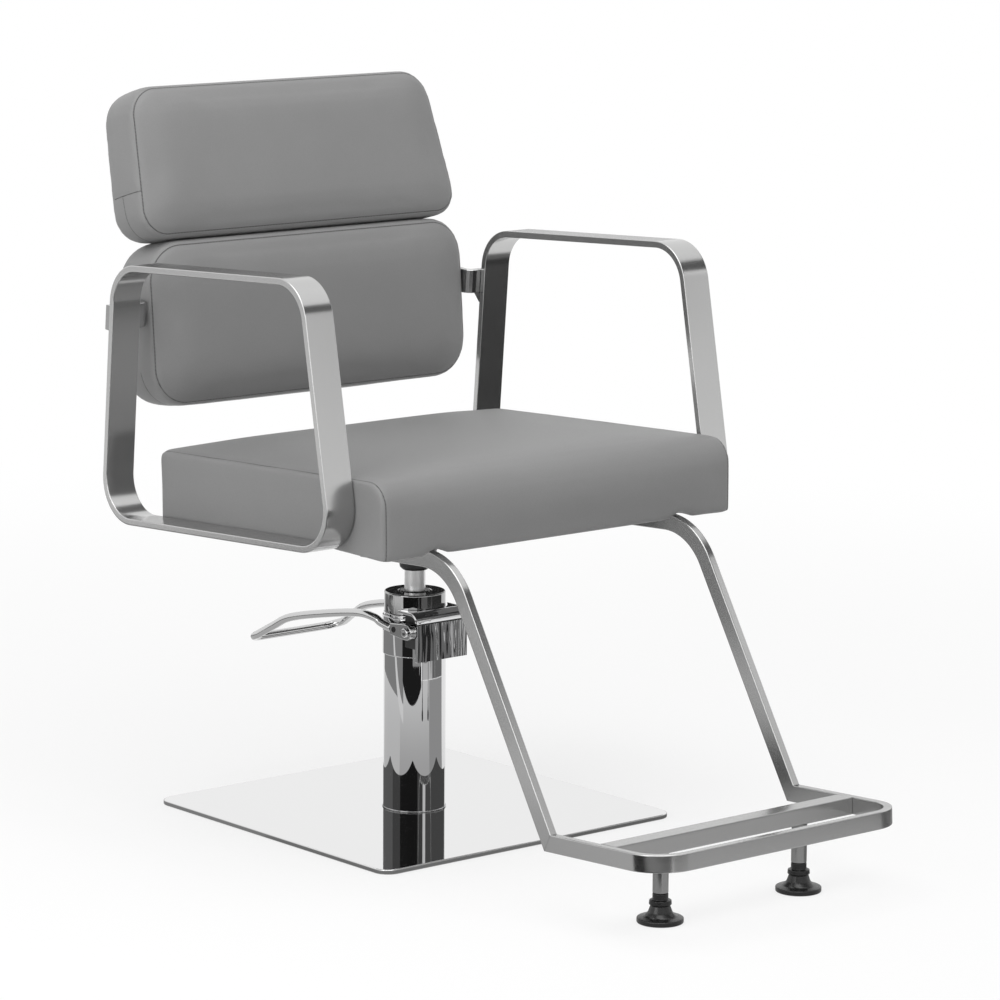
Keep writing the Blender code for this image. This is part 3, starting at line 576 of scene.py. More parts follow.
def inflate(piece, heldOf, fill):
    # cloth under inner pressure; each point keeps its way outwards up to the cap, because foam fills the
    # cover and holds it from going in; the ways are evened out with their neighbours', so creases stay faint
    mesh = piece.data
    start = coordinates(mesh)
    held = piece.vertex_groups.new(name="held")
    held.add(np.flatnonzero(heldOf(start)).tolist(), 1.0, "REPLACE")
    cloth = piece.modifiers.new("fill", "CLOTH")
    settings = cloth.settings
    settings.quality, settings.mass = fill["quality"], fill["mass"]
    settings.use_pressure = True
    settings.uniform_pressure_force = fill["pressure"]
    settings.vertex_group_mass = "held"
    settings.tension_stiffness = settings.compression_stiffness = fill["stiff"]
    settings.shear_stiffness = fill["stiff"] / 2
    settings.bending_stiffness = fill["bend"]
    settings.effector_weights.gravity = 0.0
    cloth.point_cache.frame_start, cloth.point_cache.frame_end = 1, fill["frames"]
    for step in range(1, fill["frames"] + 1):
        scene.frame_set(step)
    end = coordinates(piece.evaluated_get(bpy.context.evaluated_depsgraph_get()).data)
    outward = coordinates(mesh, True)
    move = np.clip(np.sum((end - start) * outward, axis=1, keepdims=True), 0.0, fill["cap"]) * outward
    pairs = np.empty(len(mesh.edges) * 2, np.int32)
    mesh.edges.foreach_get("vertices", pairs)
    a, b = pairs[0::2], pairs[1::2]
    size = len(start)
    joined = np.bincount(pairs, minlength=size)
    calm = move
    for _ in range(fill["calm"]):
        around = [np.bincount(a, calm[b, k], size) + np.bincount(b, calm[a, k], size) for k in range(3)]
        calm = 0.5 * calm + 0.5 * np.stack(around, 1) / joined[:, None]
    move = calm + fill["crease"] * (move - calm)
    piece.modifiers.clear()
    piece.vertex_groups.clear()
    scene.frame_set(1)
    movePoints(mesh, start + move)
    furthest = 1000 * np.linalg.norm(move, axis=1).max()
    print("  filled", piece.name, size, "points, moved up to %.1f mm" % furthest)


def sinkSeam(piece, seamGap, fill):
    # points near a seam go in along their normals by depth * exp(-(distance / width)^2)
    mesh = piece.data
    spots, normals = coordinates(mesh), coordinates(mesh, True)
    gap = np.abs(seamGap(*spots.T))
    sunk = fill["seamDepth"] * np.exp(-(gap / fill["seamWidth"]) ** 2)
    movePoints(mesh, spots - normals * sunk[:, None])


def cushion(name, cover, shell, seamGap, heldOf, fill, widest, stands):
    # shell to even skin, filled by the cloth run, seams sunk, and no point further to a side than widest
    piece = surface(name, shell, leatherFinish(cover, seamGap), "seat", sharp=180.0, stands=stands)
    evenSkin(piece, fill)
    inflate(piece, heldOf, fill)
    sinkSeam(piece, seamGap, fill)
    spots = coordinates(piece.data)
    spots[:, 0] = np.clip(spots[:, 0], -widest, widest)
    movePoints(piece.data, spots)
    piece.data.shade_smooth()
    finer = piece.modifiers.new("finer", "SUBSURF")
    finer.levels = finer.render_levels = 1


def padPlace(pad, x, y, z):
    # depth and height on the pad, and inset from its outline: a rectangle's distance less the corner radius
    (dy, dz), (ay, az) = padAxes(pad["lean"])
    spotY, spotZ = (float(v) for v in padOrigin(pad)[1:])
    depth = (y - spotY) * dy + (z - spotZ) * dz
    along = (y - spotY) * ay + (z - spotZ) * az
    narrow = (pad["half"] - pad["topHalf"]) / pad["height"]
    wide = abs(x) + along * narrow - (pad["half"] - pad["corner"])
    tall = abs(along - pad["height"] / 2) - (pad["height"] / 2 - pad["corner"])
    over, above = most(wide, 0.0), most(tall, 0.0)
    inset = pad["corner"] - root(over * over + above * above) - least(most(wide, tall), 0.0)
    return depth, along, inset


def padSeamGap(pad, x, y, z):
    # distance from the nearest seam; a seam's end is made by adding the way past it, times a slope
    depth, along, inset = padPlace(pad, x, y, z)
    slope = padForm["endSlope"]
    gap = abs(inset - pad["seam"]) + most(depth - padForm["seamReach"], 0.0) * slope
    onSide = most(inset - pad["seam"], 0.0) * slope
    gap = least(gap, abs(depth - pad["rearSeam"]) + most(along - pad["rearTop"], 0.0) * slope + onSide)
    if pad["crossSeam"] is not None:
        past = most(depth - padForm["crossReach"], 0.0) * slope
        gap = least(gap, abs(along - pad["crossSeam"]) + onSide + past)
    return gap


def buildPad(name, pad, node):
    shrink = padFill["shrink"]
    cushion(name, name + "Cover", padShell(pad, shrink), lambda x, y, z: padSeamGap(pad, x, y, z),
            lambda spots: padPlace(pad, *spots.T)[0] > pad["thick"] - padForm["held"], padFill,
            pad["half"] + pad["bulge"], (node,))


buildPad("lowerPad", lowerPad, "lower_pad")
buildPad("upperPad", upperPad, "upper_pad")
print("back pads made")

# seat: a box cushion whose top and front are one panel, with a seam along each side
seat = {"half": 0.2668, "front": 0.278, "rear": 0.156, "height": 0.0845, "rise": 0.004, "crown": 0.006,
        "nose": 0.030, "edge": 0.009, "foot": 0.0035, "rearFoot": 0.003, "frontLean": 0.004, "bulge": 0.004,
        "low": -0.0010, "sideEdge": 0.005, "endInsets": (0.034, 0.015), "seam": 0.0048, "lipDrop": 0.0080,
        "lipStart": 0.205, "sideStart": 0.165, "sideReach": (0.035, 0.025), "legX": 0.187, "legHalf": 0.0075,
        "legDent": 0.006, "heldLow": 0.008, "heldSide": 0.003}
seatFill = {**padFill, "voxel": 0.0045, "cap": 0.006, "shrink": 0.0010, "relax": 2, "full": 0.92}


def seatShell():
    # the side outline, with rounded corners, is carried across; both ends are drawn in by a quarter round;
    # the top rises by crown * sin(run)^0.7 and falls off to the sides as 1 - share^3.5
    front, rear, half, edge = seat["front"], seat["rear"], seat["half"], seat["sideEdge"]
    low, high = seat["low"], chair["gap"] + seat["height"]
    corners = [(rear, low), (rear, high + seat["rise"]), (-front, high), (-front + seat["frontLean"], low)]
    rounds = (seat["rearFoot"], seat["edge"], seat["nose"], seat["foot"])
    outline, ways = roundedPath(corners, rounds, True, 10, 0.006, 0.003)
    inward = np.stack([-ways[:, 1], ways[:, 0]], 1)
    arc = np.linspace(0, math.pi / 2, 9)
    shrink = seatFill["shrink"]
    flat = np.linspace(half - edge, 0, 30)[1:]
    across = np.concatenate([[half, half], half - edge * (1 - np.cos(arc)), flat])
    inset = np.concatenate([seat["endInsets"], edge * (1 - np.sin(arc)), np.zeros(len(flat))]) + shrink
    x = np.concatenate([-across, across[-2::-1]])[:, None]
    draw = np.concatenate([inset, inset[-2::-1]])[:, None]
    draw = draw * (0.3 + 0.7 * np.clip(outline[:, 1] / high, 0, 1))  # the lower edge is the crisper one
    y, u = outline[:, 0] + inward[:, 0] * draw, outline[:, 1] + inward[:, 1] * draw
    full = 1 - np.abs(x / half) ** 3.5
    run = np.clip((y + front) / (front + rear), 0, 1)
    level = np.clip((u - low) / (high - low), 0, 1)
    lift = seat["crown"] * full * level ** 3 * np.sin(math.pi * run) ** 0.7
    ends = np.where(run < 0.1, 1.0, np.where(run > 0.9, -0.5, 0.0))
    push = seat["bulge"] * full * np.sin(math.pi * level) * ends
    wide, soft = seat["sideReach"]
    aside = np.clip((np.abs(x) - half + wide) / soft, 0, 1)  # the lip starts further back along the sides
    begin = seat["lipStart"] + (seat["sideStart"] - seat["lipStart"]) * aside
    ahead = np.clip((-y - begin) / (front - begin), 0, 1)
    drop = seat["lipDrop"] * ahead ** (2 - 0.8 * aside) * (1 - level) ** 2
    fromLeg = np.maximum(np.abs(np.abs(x) - seat["legX"]) - seat["legHalf"], 0)
    overLeg = np.exp(-(fromLeg / seat["legDent"]) ** 2)  # the lip is held up where a leg runs under it
    return tilted(x, y - push, u + lift - drop * (1 - overLeg))


def frameHeight(spots):
    # height over the pitched frame: the way back from tilted()
    c, s = math.cos(chair["pitch"]), math.sin(chair["pitch"])
    return spots[:, 1] * s + (spots[:, 2] - chair["frameHeight"]) * c


def buildSeat():
    def held(spots):
        onSide = np.abs(spots[:, 0]) > seat["half"] - seat["heldSide"]
        return (frameHeight(spots) < seat["heldLow"]) | onSide
    seamX = seat["half"] - seat["seam"]
    cushion("seatCushion", "seatCover", seatShell(), lambda x, y, z: abs(abs(x) - seamX), held, seatFill,
            seat["half"], ("seat_cushion",))


buildSeat()
print("seat made")


def barPiece(name, grid, path, section, node, closed=False):
    # a swept bar with its run map: metres along the path, metres round the section
    surface(name, grid, steel, "seat", (closed, True), not closed,
            (runLength(path, closed), runLength(section, True)), stands=(node,))


# arms: closed loops of flat bar
arm = {"inner": 0.268, "width": 0.040, "thick": 0.008, "height": 0.3127, "middle": -0.0057, "bottom": 0.227,
       "top": 0.1857, "bend": 0.052}


def buildArms():
    # a trapezium with bent corners, drawn half a bar's thickness inside the loop's outline
    t, middle = arm["thick"] / 2, arm["middle"]
    lean = (arm["bottom"] - arm["top"]) / arm["height"]
    inset = t / math.cos(math.atan(lean))
    low, top = arm["bottom"] - inset - lean * t, arm["top"] - inset + lean * t
    high = arm["height"] - t
    corners = [(middle - low, t), (middle + low, t), (middle + top, high), (middle - top, high)]
    path, ways = roundedPath(corners, arm["bend"] - t, True, 28, 0.012, 0.003)
    section = barSection(arm["thick"], arm["width"], chair["barEdge"])
    y, u, w = sweepBar(path, ways, section)
    for name, sign in sides:
        grid = tilted(sign * (arm["inner"] + arm["width"] / 2 + w), y, u)
        barPiece("armLoop." + name, grid, path, section, "arm_loop_" + name, True)


buildArms()
print("arms made")

# footrest: two legs with a knee, a rounded front frame mitred to them, a cross bar between
rest = {"legX": 0.187, "legThick": 0.010, "legTall": 0.020, "legTop": -0.002, "legStart": 0.1353,
        "knee": 0.2948, "kneeBend": 0.080, "slope": math.radians(28.4), "drop": 0.3134, "front": 0.644,
        "bend": 0.042, "barFront": 0.5616, "barWide": 0.025, "support": 0.013}


def buildFootrest():
    # bars swept along the legs' side line, the frame's plan and the straight cross bar
    legX, thick, tall, edge = rest["legX"], rest["legThick"], rest["legTall"], chair["barEdge"]
    legU, restU = rest["legTop"] - tall / 2, -rest["drop"]
    heel = -rest["knee"] - (legU - restU) * math.tan(rest["slope"])
    halfAngle = (math.pi / 2 - rest["slope"]) / 2
    mitre, back = math.tan(halfAngle), chair["gap"] / 2 / math.cos(halfAngle)
    line = [(-rest["legStart"], legU), (-rest["knee"], legU), (heel, restU)]
    path, ways = roundedPath(line, rest["kneeBend"], False, 30, 0.014, rest["support"])
    path[-1] -= ways[-1] * back
    section = barSection(tall, thick, edge)
    y, u, w = sweepBar(path, ways, section, (0, 0), (mitre, 0))
    for name, sign in sides:
        grid = tilted(sign * legX + w, y, u)
        barPiece("footrestLeg." + name, grid, path, section, "footrest_leg_" + name)
    front = -rest["front"] + thick / 2
    plan = [(-legX, heel - back), (-legX, front), (legX, front), (legX, heel - back)]
    path, ways = roundedPath(plan, rest["bend"], False, 26, 0.014, rest["support"])
    section = barSection(thick, tall, edge)
    x, y, w = sweepBar(path, ways, section, (0, mitre), (0, -mitre))
    barPiece("footrestFrame", tilted(x, y, restU + w), path, section, "footrest_frame")
    half = legX - thick / 2 - chair["gap"]
    path, ways = roundedPath([(-half, 0), (half, 0)], 0.0, False, 2, 0.02, 0.0006)
    section = barSection(rest["barWide"], tall, edge)
    x, y, w = sweepBar(path, ways, section)
    grid = tilted(x, y - rest["barFront"] + rest["barWide"] / 2, restU + w)
    barPiece("footrestBar", grid, path, section, "footrest_bar")


buildFootrest()
print("footrest made")

# levelling feet: chrome sleeve under the cross bar, black bell-shaped foot on a threaded stud
feet = {"x": 0.1065, "sleeve": 0.009, "bore": 0.0045, "neckTop": 0.0337, "low": 0.034, "neck": 0.009,
        "bell": 0.0125, "wide": 0.0265, "rim": 0.005, "stud": 0.0042, "studFoot": 0.002, "thread": 0.0005,
        "pitch": 0.00125, "round": 0.057}


def buildFeet():
    # lathe profiles; the sleeve's upper rings are lowered to follow the pitched bar over it
    lowest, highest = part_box("foot_sleeve_left")
    y = (lowest.y + highest.y) / 2
    top, neck, bell, wide, rim = (feet[key] for key in ("neckTop", "neck", "bell", "wide", "rim"))
    outline = [(0.0, top), (neck, top), (neck, top - 0.0072), (bell, top - 0.0082),
               (bell + 0.0004, top - 0.0128), (bell - 0.0014, top - 0.0140), (bell + 0.0012, rim + 0.0070),
               (wide - 0.0085, rim + 0.0022), (wide, rim + 0.0004), (wide, 0.0), (0.0, 0.0)]
    radii = (0, 0.0010, 0.0006, 0.0008, 0.0008, 0.0010, 0.009, 0.006, 0.0012, 0.0010, 0)
    foot = roundedPath(outline, radii, False, 6, 0.004, 0.0006)[0]
    # stud: rings whose radius steps in and out every half pitch, closed at both ends
    heights = np.arange(top - feet["studFoot"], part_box("level_foot_left")[1].z, feet["pitch"] / 2)
    radius = feet["stud"] - feet["thread"] * (np.arange(len(heights)) % 2)
    radius[[0, -1]] = 0.0
    heights[0], heights[-1] = heights[1], heights[-2]
    stud = np.stack([radius, heights], 1)
    bore, outer, low = feet["bore"], feet["sleeve"], feet["low"]
    wall = roundedPath([(bore, highest.z), (outer, highest.z), (outer, low), (bore, low)],
                       (0.0003, 0.0003, 0.0009, 0.0003), True, 5, 0.01, 0.0006)[0]
    run = (runLength(wall, True), np.linspace(0, feet["round"], 65))
    for name, sign in sides:
        centre, body = (sign * feet["x"], y), "foot_" + name
        turned("levelFoot." + name, foot, footBlack, body, ("level_foot_" + name,), 72, False,
               centre)
        turned("footStud." + name, stud, bracketSteel, body, (), 48, False, centre, 20.0)
        grid = lathe(wall, centre, 64)
        upper = np.abs(grid[..., 2] - highest.z) < 0.002
        grid[..., 2] -= upper * ((grid[..., 1] - y) * math.tan(chair["pitch"]) + 0.0004)
        # the sleeve takes the darkened steel: painted shade
        surface("footSleeve." + name, grid, shadedSteel, "seat", (True, True), False, run,
                stands=("foot_sleeve_" + name,))


buildFeet()
print("feet made")

# base: square mirror plate with a softened edge; rings close inside it keep its faces flat when shaded
base = {"half": 0.225, "thick": 0.006, "corner": 0.020, "edge": 0.0016, "ring": 0.004, "close": 0.0001}


def buildBase():
    # rounded squares, each with its inset and height
    topInsets = [base["edge"] + base["close"], base["ring"]]
    inset, height = softEdges(base["thick"], base["edge"], 7, base["ring"], topInsets)
    half = base["half"] - inset
    x, y = roundedRings(half, half, -half, half, base["corner"] - inset, 16, 6)
    grid = np.stack(np.broadcast_arrays(x, y, height[:, None]), -1)
    surface("basePlate", grid, plateChrome, "base", stands=("base_plate",))


buildBase()

# pump column: sleeve with a thin ring at its foot, collar, cap with its seal, and the ram
pump = {"radius": 0.038, "foot": 0.0063, "sleeveTop": 0.2497, "wall": 0.002, "ring": (0.0002, 0.0010, 0.0012),
        "collar": 0.0395, "collarLow": 0.1985, "collarTop": 0.246, "cap": 0.0374, "capLow": 0.25,
        "top": 0.275, "seal": 0.0175, "ram": 0.0128, "ramTop": 0.3494, "ramLow": 0.1, "edge": 0.0006}


def tubeWall(inner, outer, low, high, edge):
    corners = [(inner, low), (outer, low), (outer, high), (inner, high)]
    return roundedPath(corners, edge, True, 5, 0.02, 0.0008)[0]


def buildPump():
    # lathe profiles in (radius, height), all about the chair's upright axis
    p = pump
    radius, foot, top, edge, gap = p["radius"], p["foot"], p["top"], p["edge"], chair["gap"]
    inside, outside, tall = p["ring"]
    sleeve = tubeWall(radius - p["wall"], radius, foot, p["sleeveTop"], edge)
    turned("columnSleeve", sleeve, chrome, stands=("column_sleeve",))
    turned("columnFoot", tubeWall(radius + inside, radius + outside, foot, foot + tall, edge / 2), chrome)
    collar = tubeWall(radius + gap, p["collar"], p["collarLow"], p["collarTop"], edge)
    turned("pumpCollar", collar, chrome, stands=("pump_collar",))
    hole, seal = p["ram"] + gap, p["seal"] + gap
    step, deep = top - 0.0007, top - 0.0016
    outline = [(hole, p["capLow"]), (p["cap"], p["capLow"]), (p["cap"], top), (seal + 0.003, top),
               (seal + 0.0026, step), (seal, step), (seal, deep), (hole, deep)]
    rounds = (0.0004, 0.0004, 0.0016, 0.0002, 0.0002, 0.0002, 0.0002, 0.0002)
    cap = roundedPath(outline, rounds, True, 5, 0.01, 0.0004)[0]
    # the cap takes the darkened chrome: painted shade
    turned("pumpCap", cap, shadedCapChrome, stands=("pump_cap",))
    ring = tubeWall(hole, p["seal"], top - 0.0013, top + 0.0008, 0.0005)
    turned("rodSeal", ring, footBlack, "base", ("rod_seal",), 64)
    outline = [(0, p["ramLow"]), (p["ram"], p["ramLow"]), (p["ram"], p["ramTop"]), (0, p["ramTop"])]
    ram = roundedPath(outline, (0, edge, 0.001, 0), False, 5, 0.02, 0.0008)[0]
    turned("pistonRod", ram, ramChrome, "ram", ("piston_rod",), 96, False)


buildPump()
print("base and pump made")

# bent cover plate in front of the column, cut to the column's round at its rear edge
cover = {"half": 0.0388, "top": 0.2575, "low": 0.198, "front": 0.0527, "rear": 0.016, "thick": 0.0035,
         "bend": 0.012, "round": 0.0398, "edge": 0.0005}


def buildCover():
    # for each x the middle line runs from the column's round, forward to the bend and down; the sheet is the
    # line moved square to itself, half its thickness to each side
    t = cover["thick"] / 2
    high, front = cover["top"] - t, -cover["front"] + t
    x = np.linspace(-cover["half"], cover["half"], 49)
    rear = -np.maximum(cover["rear"], np.sqrt(np.maximum(cover["round"] ** 2 - x ** 2, 0)))
    line = [(-cover["rear"], high), (front, high), (front, cover["low"])]
    path, ways = roundedPath(line, cover["bend"], False, 20, 0.006, 0.0008)
    bendEnd = front + cover["bend"]
    flat = path[:, 0] > bendEnd - 1e-6
    share = np.where(flat, (path[:, 0] - bendEnd) / (-cover["rear"] - bendEnd), 0)
    y = path[:, 0][None] + share[None] * (rear + cover["rear"])[:, None]
    z = np.broadcast_to(path[:, 1], y.shape)
    side = t * np.stack([-ways[:, 1], ways[:, 0]], 1)
    across = np.broadcast_to(x[:, None], y.shape)
    outer = np.stack([across, y + side[:, 0], z + side[:, 1]], -1)
    inner = np.stack([across, y - side[:, 0], z - side[:, 1]], -1)
    grid = np.concatenate([outer, inner[:, ::-1]], 1)
    piece = surface("pumpCover", grid, coverChrome, "base", caps=False, sharp=30.0,
                    stands=("pump_cover",))
    work = bmesh.new()
    work.from_mesh(piece.data)
    for end in (-cover["half"], cover["half"]):  # close the two side edges
        loose = [edge for edge in work.edges if edge.is_boundary]
        rim = [edge for edge in loose if all(abs(v.co.x - end) < 1e-6 for v in edge.verts)]
        bmesh.ops.edgenet_fill(work, edges=rim)
    bmesh.ops.recalc_face_normals(work, faces=work.faces)
    work.to_mesh(piece.data)
    work.free()
    soft = piece.modifiers.new("soft", "BEVEL")
    soft.width, soft.segments = cover["edge"], 3
    soft.limit_method, soft.angle_limit = "ANGLE", math.radians(50)


buildCover()

# pedal: lugs on the shaft, a bent round bar, bolt heads at the pivot
pedal = {"pivot": (0.0, -0.0440, 0.2355), "lugIn": 0.0402, "lugThick": 0.0095, "lugHalf": 0.0095,
         "lugNeck": 0.006, "tail": 0.031, "tailHalf": 0.00675, "lugEdge": 0.0008, "lugRing": 0.0016,
         "rod": 0.0050, "spread": 0.069, "reach": 0.290, "rise": 0.010, "drop": 0.052, "upturn": 0.008,
         "corner": 0.020, "screw": 0.0235, "bolt": (0.0058, 0.0030, 0.42), "grub": (0.0036, 0.0007, 0.5)}


def smoothLine(knots, steps):
    # Catmull-Rom: a cubic between each pair of knots whose ends take their slope from the knots on both sides
    ends = np.concatenate([2 * knots[:1] - knots[1:2], knots, 2 * knots[-1:] - knots[-2:-1]])
    a, b, c, d = ends[:-3, None], ends[1:-2, None], ends[2:-1, None], ends[3:, None]
    t = np.linspace(0, 1, steps, endpoint=False)[None, :, None]
    square, cube = 2 * a - 5 * b + 4 * c - d, 3 * b - a - 3 * c + d
    line = 0.5 * (2 * b + (c - a) * t + square * t ** 2 + cube * t ** 3)
    return np.concatenate([line.reshape(-1, 3), knots[-1:]])


def tubeAlong(line, radius, steps):
    # a circle square to the line at each point; its first axis is level
    way = unit(np.gradient(line, axis=0))
    level = unit(np.cross(way, (0, 0, 1.0)))
    rise = np.cross(level, way)
    turn = np.linspace(0, 2 * math.pi, steps, endpoint=False)[None, :, None]
    return line[:, None] + radius * (np.cos(turn) * level[:, None] + np.sin(turn) * rise[:, None])


def buildPedal():
    # loop: one side is a smooth line through knots that falls to the rear, then a round corner; the other
    # side is its mirror
    p = pedal
    rod, reach, rise, drop = (p[key] for key in ("rod", "reach", "rise", "drop"))
    spread, tail = p["spread"], p["tail"]
    mid, start = p["lugIn"] + p["lugThick"] / 2, tail + chair["gap"]
    share, fall = np.array([0.55, 0.74, 0.84]), np.array([0.2, 0.42, 0.67])
    knots = np.array([(mid, start, 0), (mid, start + rod, 0), (mid + 0.002, start + 4 * rod, rise * 0.4),
                      (mid + 0.004, reach * 0.215, rise * 0.9), (mid + 0.006, reach * 0.32, rise)])
    fallen = np.stack([mid + (spread - mid) * share ** 1.5, reach * share,
                       rise * (1 - fall) - drop * fall * 0.92], 1)
    straight = reach - p["corner"]
    last = np.array([(spread, straight, p["upturn"] - drop)])
    turn = np.linspace(0, math.pi / 2, 15)[1:]
    corner = np.stack([spread - p["corner"] * (1 - np.cos(turn)), straight + p["corner"] * np.sin(turn),
                       -drop + p["upturn"] * (1 - np.sin(turn))], 1)
    right = np.concatenate([smoothLine(np.concatenate([knots, fallen, last]), 8), corner])
    bridge = np.linspace(right[-1], right[-1] * (-1, 1, 1), 10)[1:-1]
    line = np.concatenate([right, bridge, right[::-1] * (-1, 1, 1)]) + p["pivot"]
    # the loop and the lugs below take the darkened chrome: painted shade
    surface("pedalLoop", tubeAlong(line, rod, 28), shadedPedalChrome, "pedal", stands=("pedal_loop",))
    # lugs: rings of one outline, drawn in over softened edges
    half, neck, tailHalf = p["lugHalf"], p["lugNeck"], p["tailHalf"]
    corners = [(-half, -half), (neck, -half), (tail, -tailHalf), (tail, tailHalf), (neck, half),
               (-half, half)]
    outline, ways = roundedPath(corners, (0.0093, 0.01, 0.002, 0.002, 0.01, 0.0093), True, 10, 0.003, 0.0006)
    outward = np.stack([ways[:, 1], -ways[:, 0]], 1)
    inset, level = softEdges(p["lugThick"], p["lugEdge"], 6, p["lugRing"], [p["lugRing"]])
    flat = outline[None] - outward[None] * inset[:, None, None]
    for name, sign in sides:
        x = np.broadcast_to(sign * (p["lugIn"] + level)[:, None], flat.shape[:2])
        grid = np.stack([x, p["pivot"][1] + flat[..., 0], p["pivot"][2] + flat[..., 1]], -1)
        surface("pedalLug." + name, grid, shadedPedalChrome, "pedal", stands=("pedal_eye_" + name,))


def screwHead(name, spot, axis, form, finish, body, stands=(), steps=48):
    # form is (radius, height, recess share); rings go from the underside over a domed edge to a six-sided
    # recess, whose radius is flat / cos(angle from the flat)
    radius, height, recess = form
    turn = np.linspace(0, 2 * math.pi, steps, endpoint=False)
    flat = radius * recess
    six = flat / np.cos((turn + math.pi / 6) % (math.pi / 3) - math.pi / 6)
    arc = np.linspace(0, math.pi / 2, 7)
    dome = radius - 0.45 * height * (1 - np.cos(arc))
    lift = height * 0.55 + 0.45 * height * np.sin(arc)
    rings = [(np.full(steps, radius), 0.0)] + [(np.full(steps, r), h) for r, h in zip(dome, lift)]
    rings += [(six + 0.0002, height), (six, height - 0.0002), (six, height * 0.35)]
    rings += [(six * 0.3, height * 0.30)]
    r, h = np.stack([ring[0] for ring in rings]), np.array([ring[1] for ring in rings])[:, None]
    turnTo = np.array(Vector((0, 0, 1)).rotation_difference(Vector(axis)).to_matrix())
    upright = np.stack(np.broadcast_arrays(r * np.cos(turn), r * np.sin(turn), h), -1)
    grid = upright @ turnTo.T + np.array(spot)
    surface(name, grid, finish, body, sharp=35.0, stands=stands)


def pedalScrews():
    # a bolt head at the pivot and a grub screw over the bar's end, on the outer face of each lug
    out = pedal["lugIn"] + pedal["lugThick"]
    _, y, z = pedal["pivot"]
    for name, sign in sides:
        axis = (sign, 0, 0)
        screwHead("pivotBolt." + name, (sign * (out + chair["gap"]), y, z), axis, pedal["bolt"], chrome,
                  "pedal", ("pedal_nut_" + name,))
        screwHead("grubScrew." + name, (sign * out, y + pedal["screw"], z), axis, pedal["grub"], footBlack,
                  "pedal")


buildPedal()
pedalScrews()
print("pedal made")

# the seat carrier, the back's carrier and the linings keep their solids and get their finish
kept = ((paint, ("seat_plate", "seat_rail_front", "seat_rail_rear", "seat_hub", "back_strap_left",
                 "back_strap_right", "pedal_bearing", "pedal_shaft", "pump_cylinder", "piston_head")),
        (bracketSteel, ("back_bracket_left", "back_bracket_right", "bracket_gusset_left",
                        "bracket_gusset_right")),
        (lining, ("seat_board", "lower_panel", "upper_panel")))
for finish, names in kept:
    for name in names:
        nodes[name].data.materials.clear()
        nodes[name].data.materials.append(finish.material)

# button screws through the straps, and under the carrier plate and rails
screws = {"form": (0.0058, 0.0028, 0.5), "lower": (0.062, 0.140), "upper": (0.050, 0.122), "plate": 0.068,
          "rail": (0.110, 0.215), "strapBend": 0.1}


def strapScrews():
    # the strap's rear face is its furthest depth on each pad; the screws stand on it, square to the pad
    for side, _ in sides:
        spots = coordinates(nodes["back_strap_" + side].data)
        middle = (spots[:, 0].min() + spots[:, 0].max()) / 2
        for pad, places, upper in ((lowerPad, screws["lower"], False), (upperPad, screws["upper"], True)):
            depth, along, _ = padPlace(pad, *spots.T)
            rear = depth[(along > screws["strapBend"]) == upper].max()
            (dy, dz), (ay, az) = padAxes(pad["lean"])
            _, y, z = padOrigin(pad)
            for i, place in enumerate(places):
                spot = (middle, y + rear * dy + place * ay, z + rear * dz + place * az)
                screwHead("strapScrew.%s.%d" % (side, i + 2 * upper), spot, (0, dy, dz), screws["form"],
                          bracketSteel, "seat")


def carrierScrews():
    # places in the pitched frame on the underside of the plate and of each rail
    c, s = math.cos(chair["pitch"]), math.sin(chair["pitch"])
    plate, rail = screws["plate"], screws["rail"]
    rows = (("seat_plate", "plateScrew", (plate,), (-plate, plate)),
            ("seat_rail_front", "frontRailScrew", rail, (0.0,)),
            ("seat_rail_rear", "rearRailScrew", rail, (0.0,)))
    for node, name, across, ways in rows:
        spots = coordinates(nodes[node].data)
        y, u = spots[:, 1] * c - (spots[:, 2] - chair["frameHeight"]) * s, frameHeight(spots)
        middle = (y.min() + y.max()) / 2
        places = [(sign * x, middle + way) for x in across for way in ways for _, sign in sides]
        for i, (x, way) in enumerate(places):
            screwHead("%s.%d" % (name, i), tilted(x, way, u.min()), (0.0, -s, -c), screws["form"],
                      bracketSteel, "seat")


strapScrews()
carrierScrews()
print("screws made")

# studio: white floor and sky, a large soft lamp above and one at the left
studio = {"ambient": 0.62, "floor": 0.90, "keep": 0.74, "near": 0.6, "far": 2.6, "half": 40,
          "height": -0.0004}
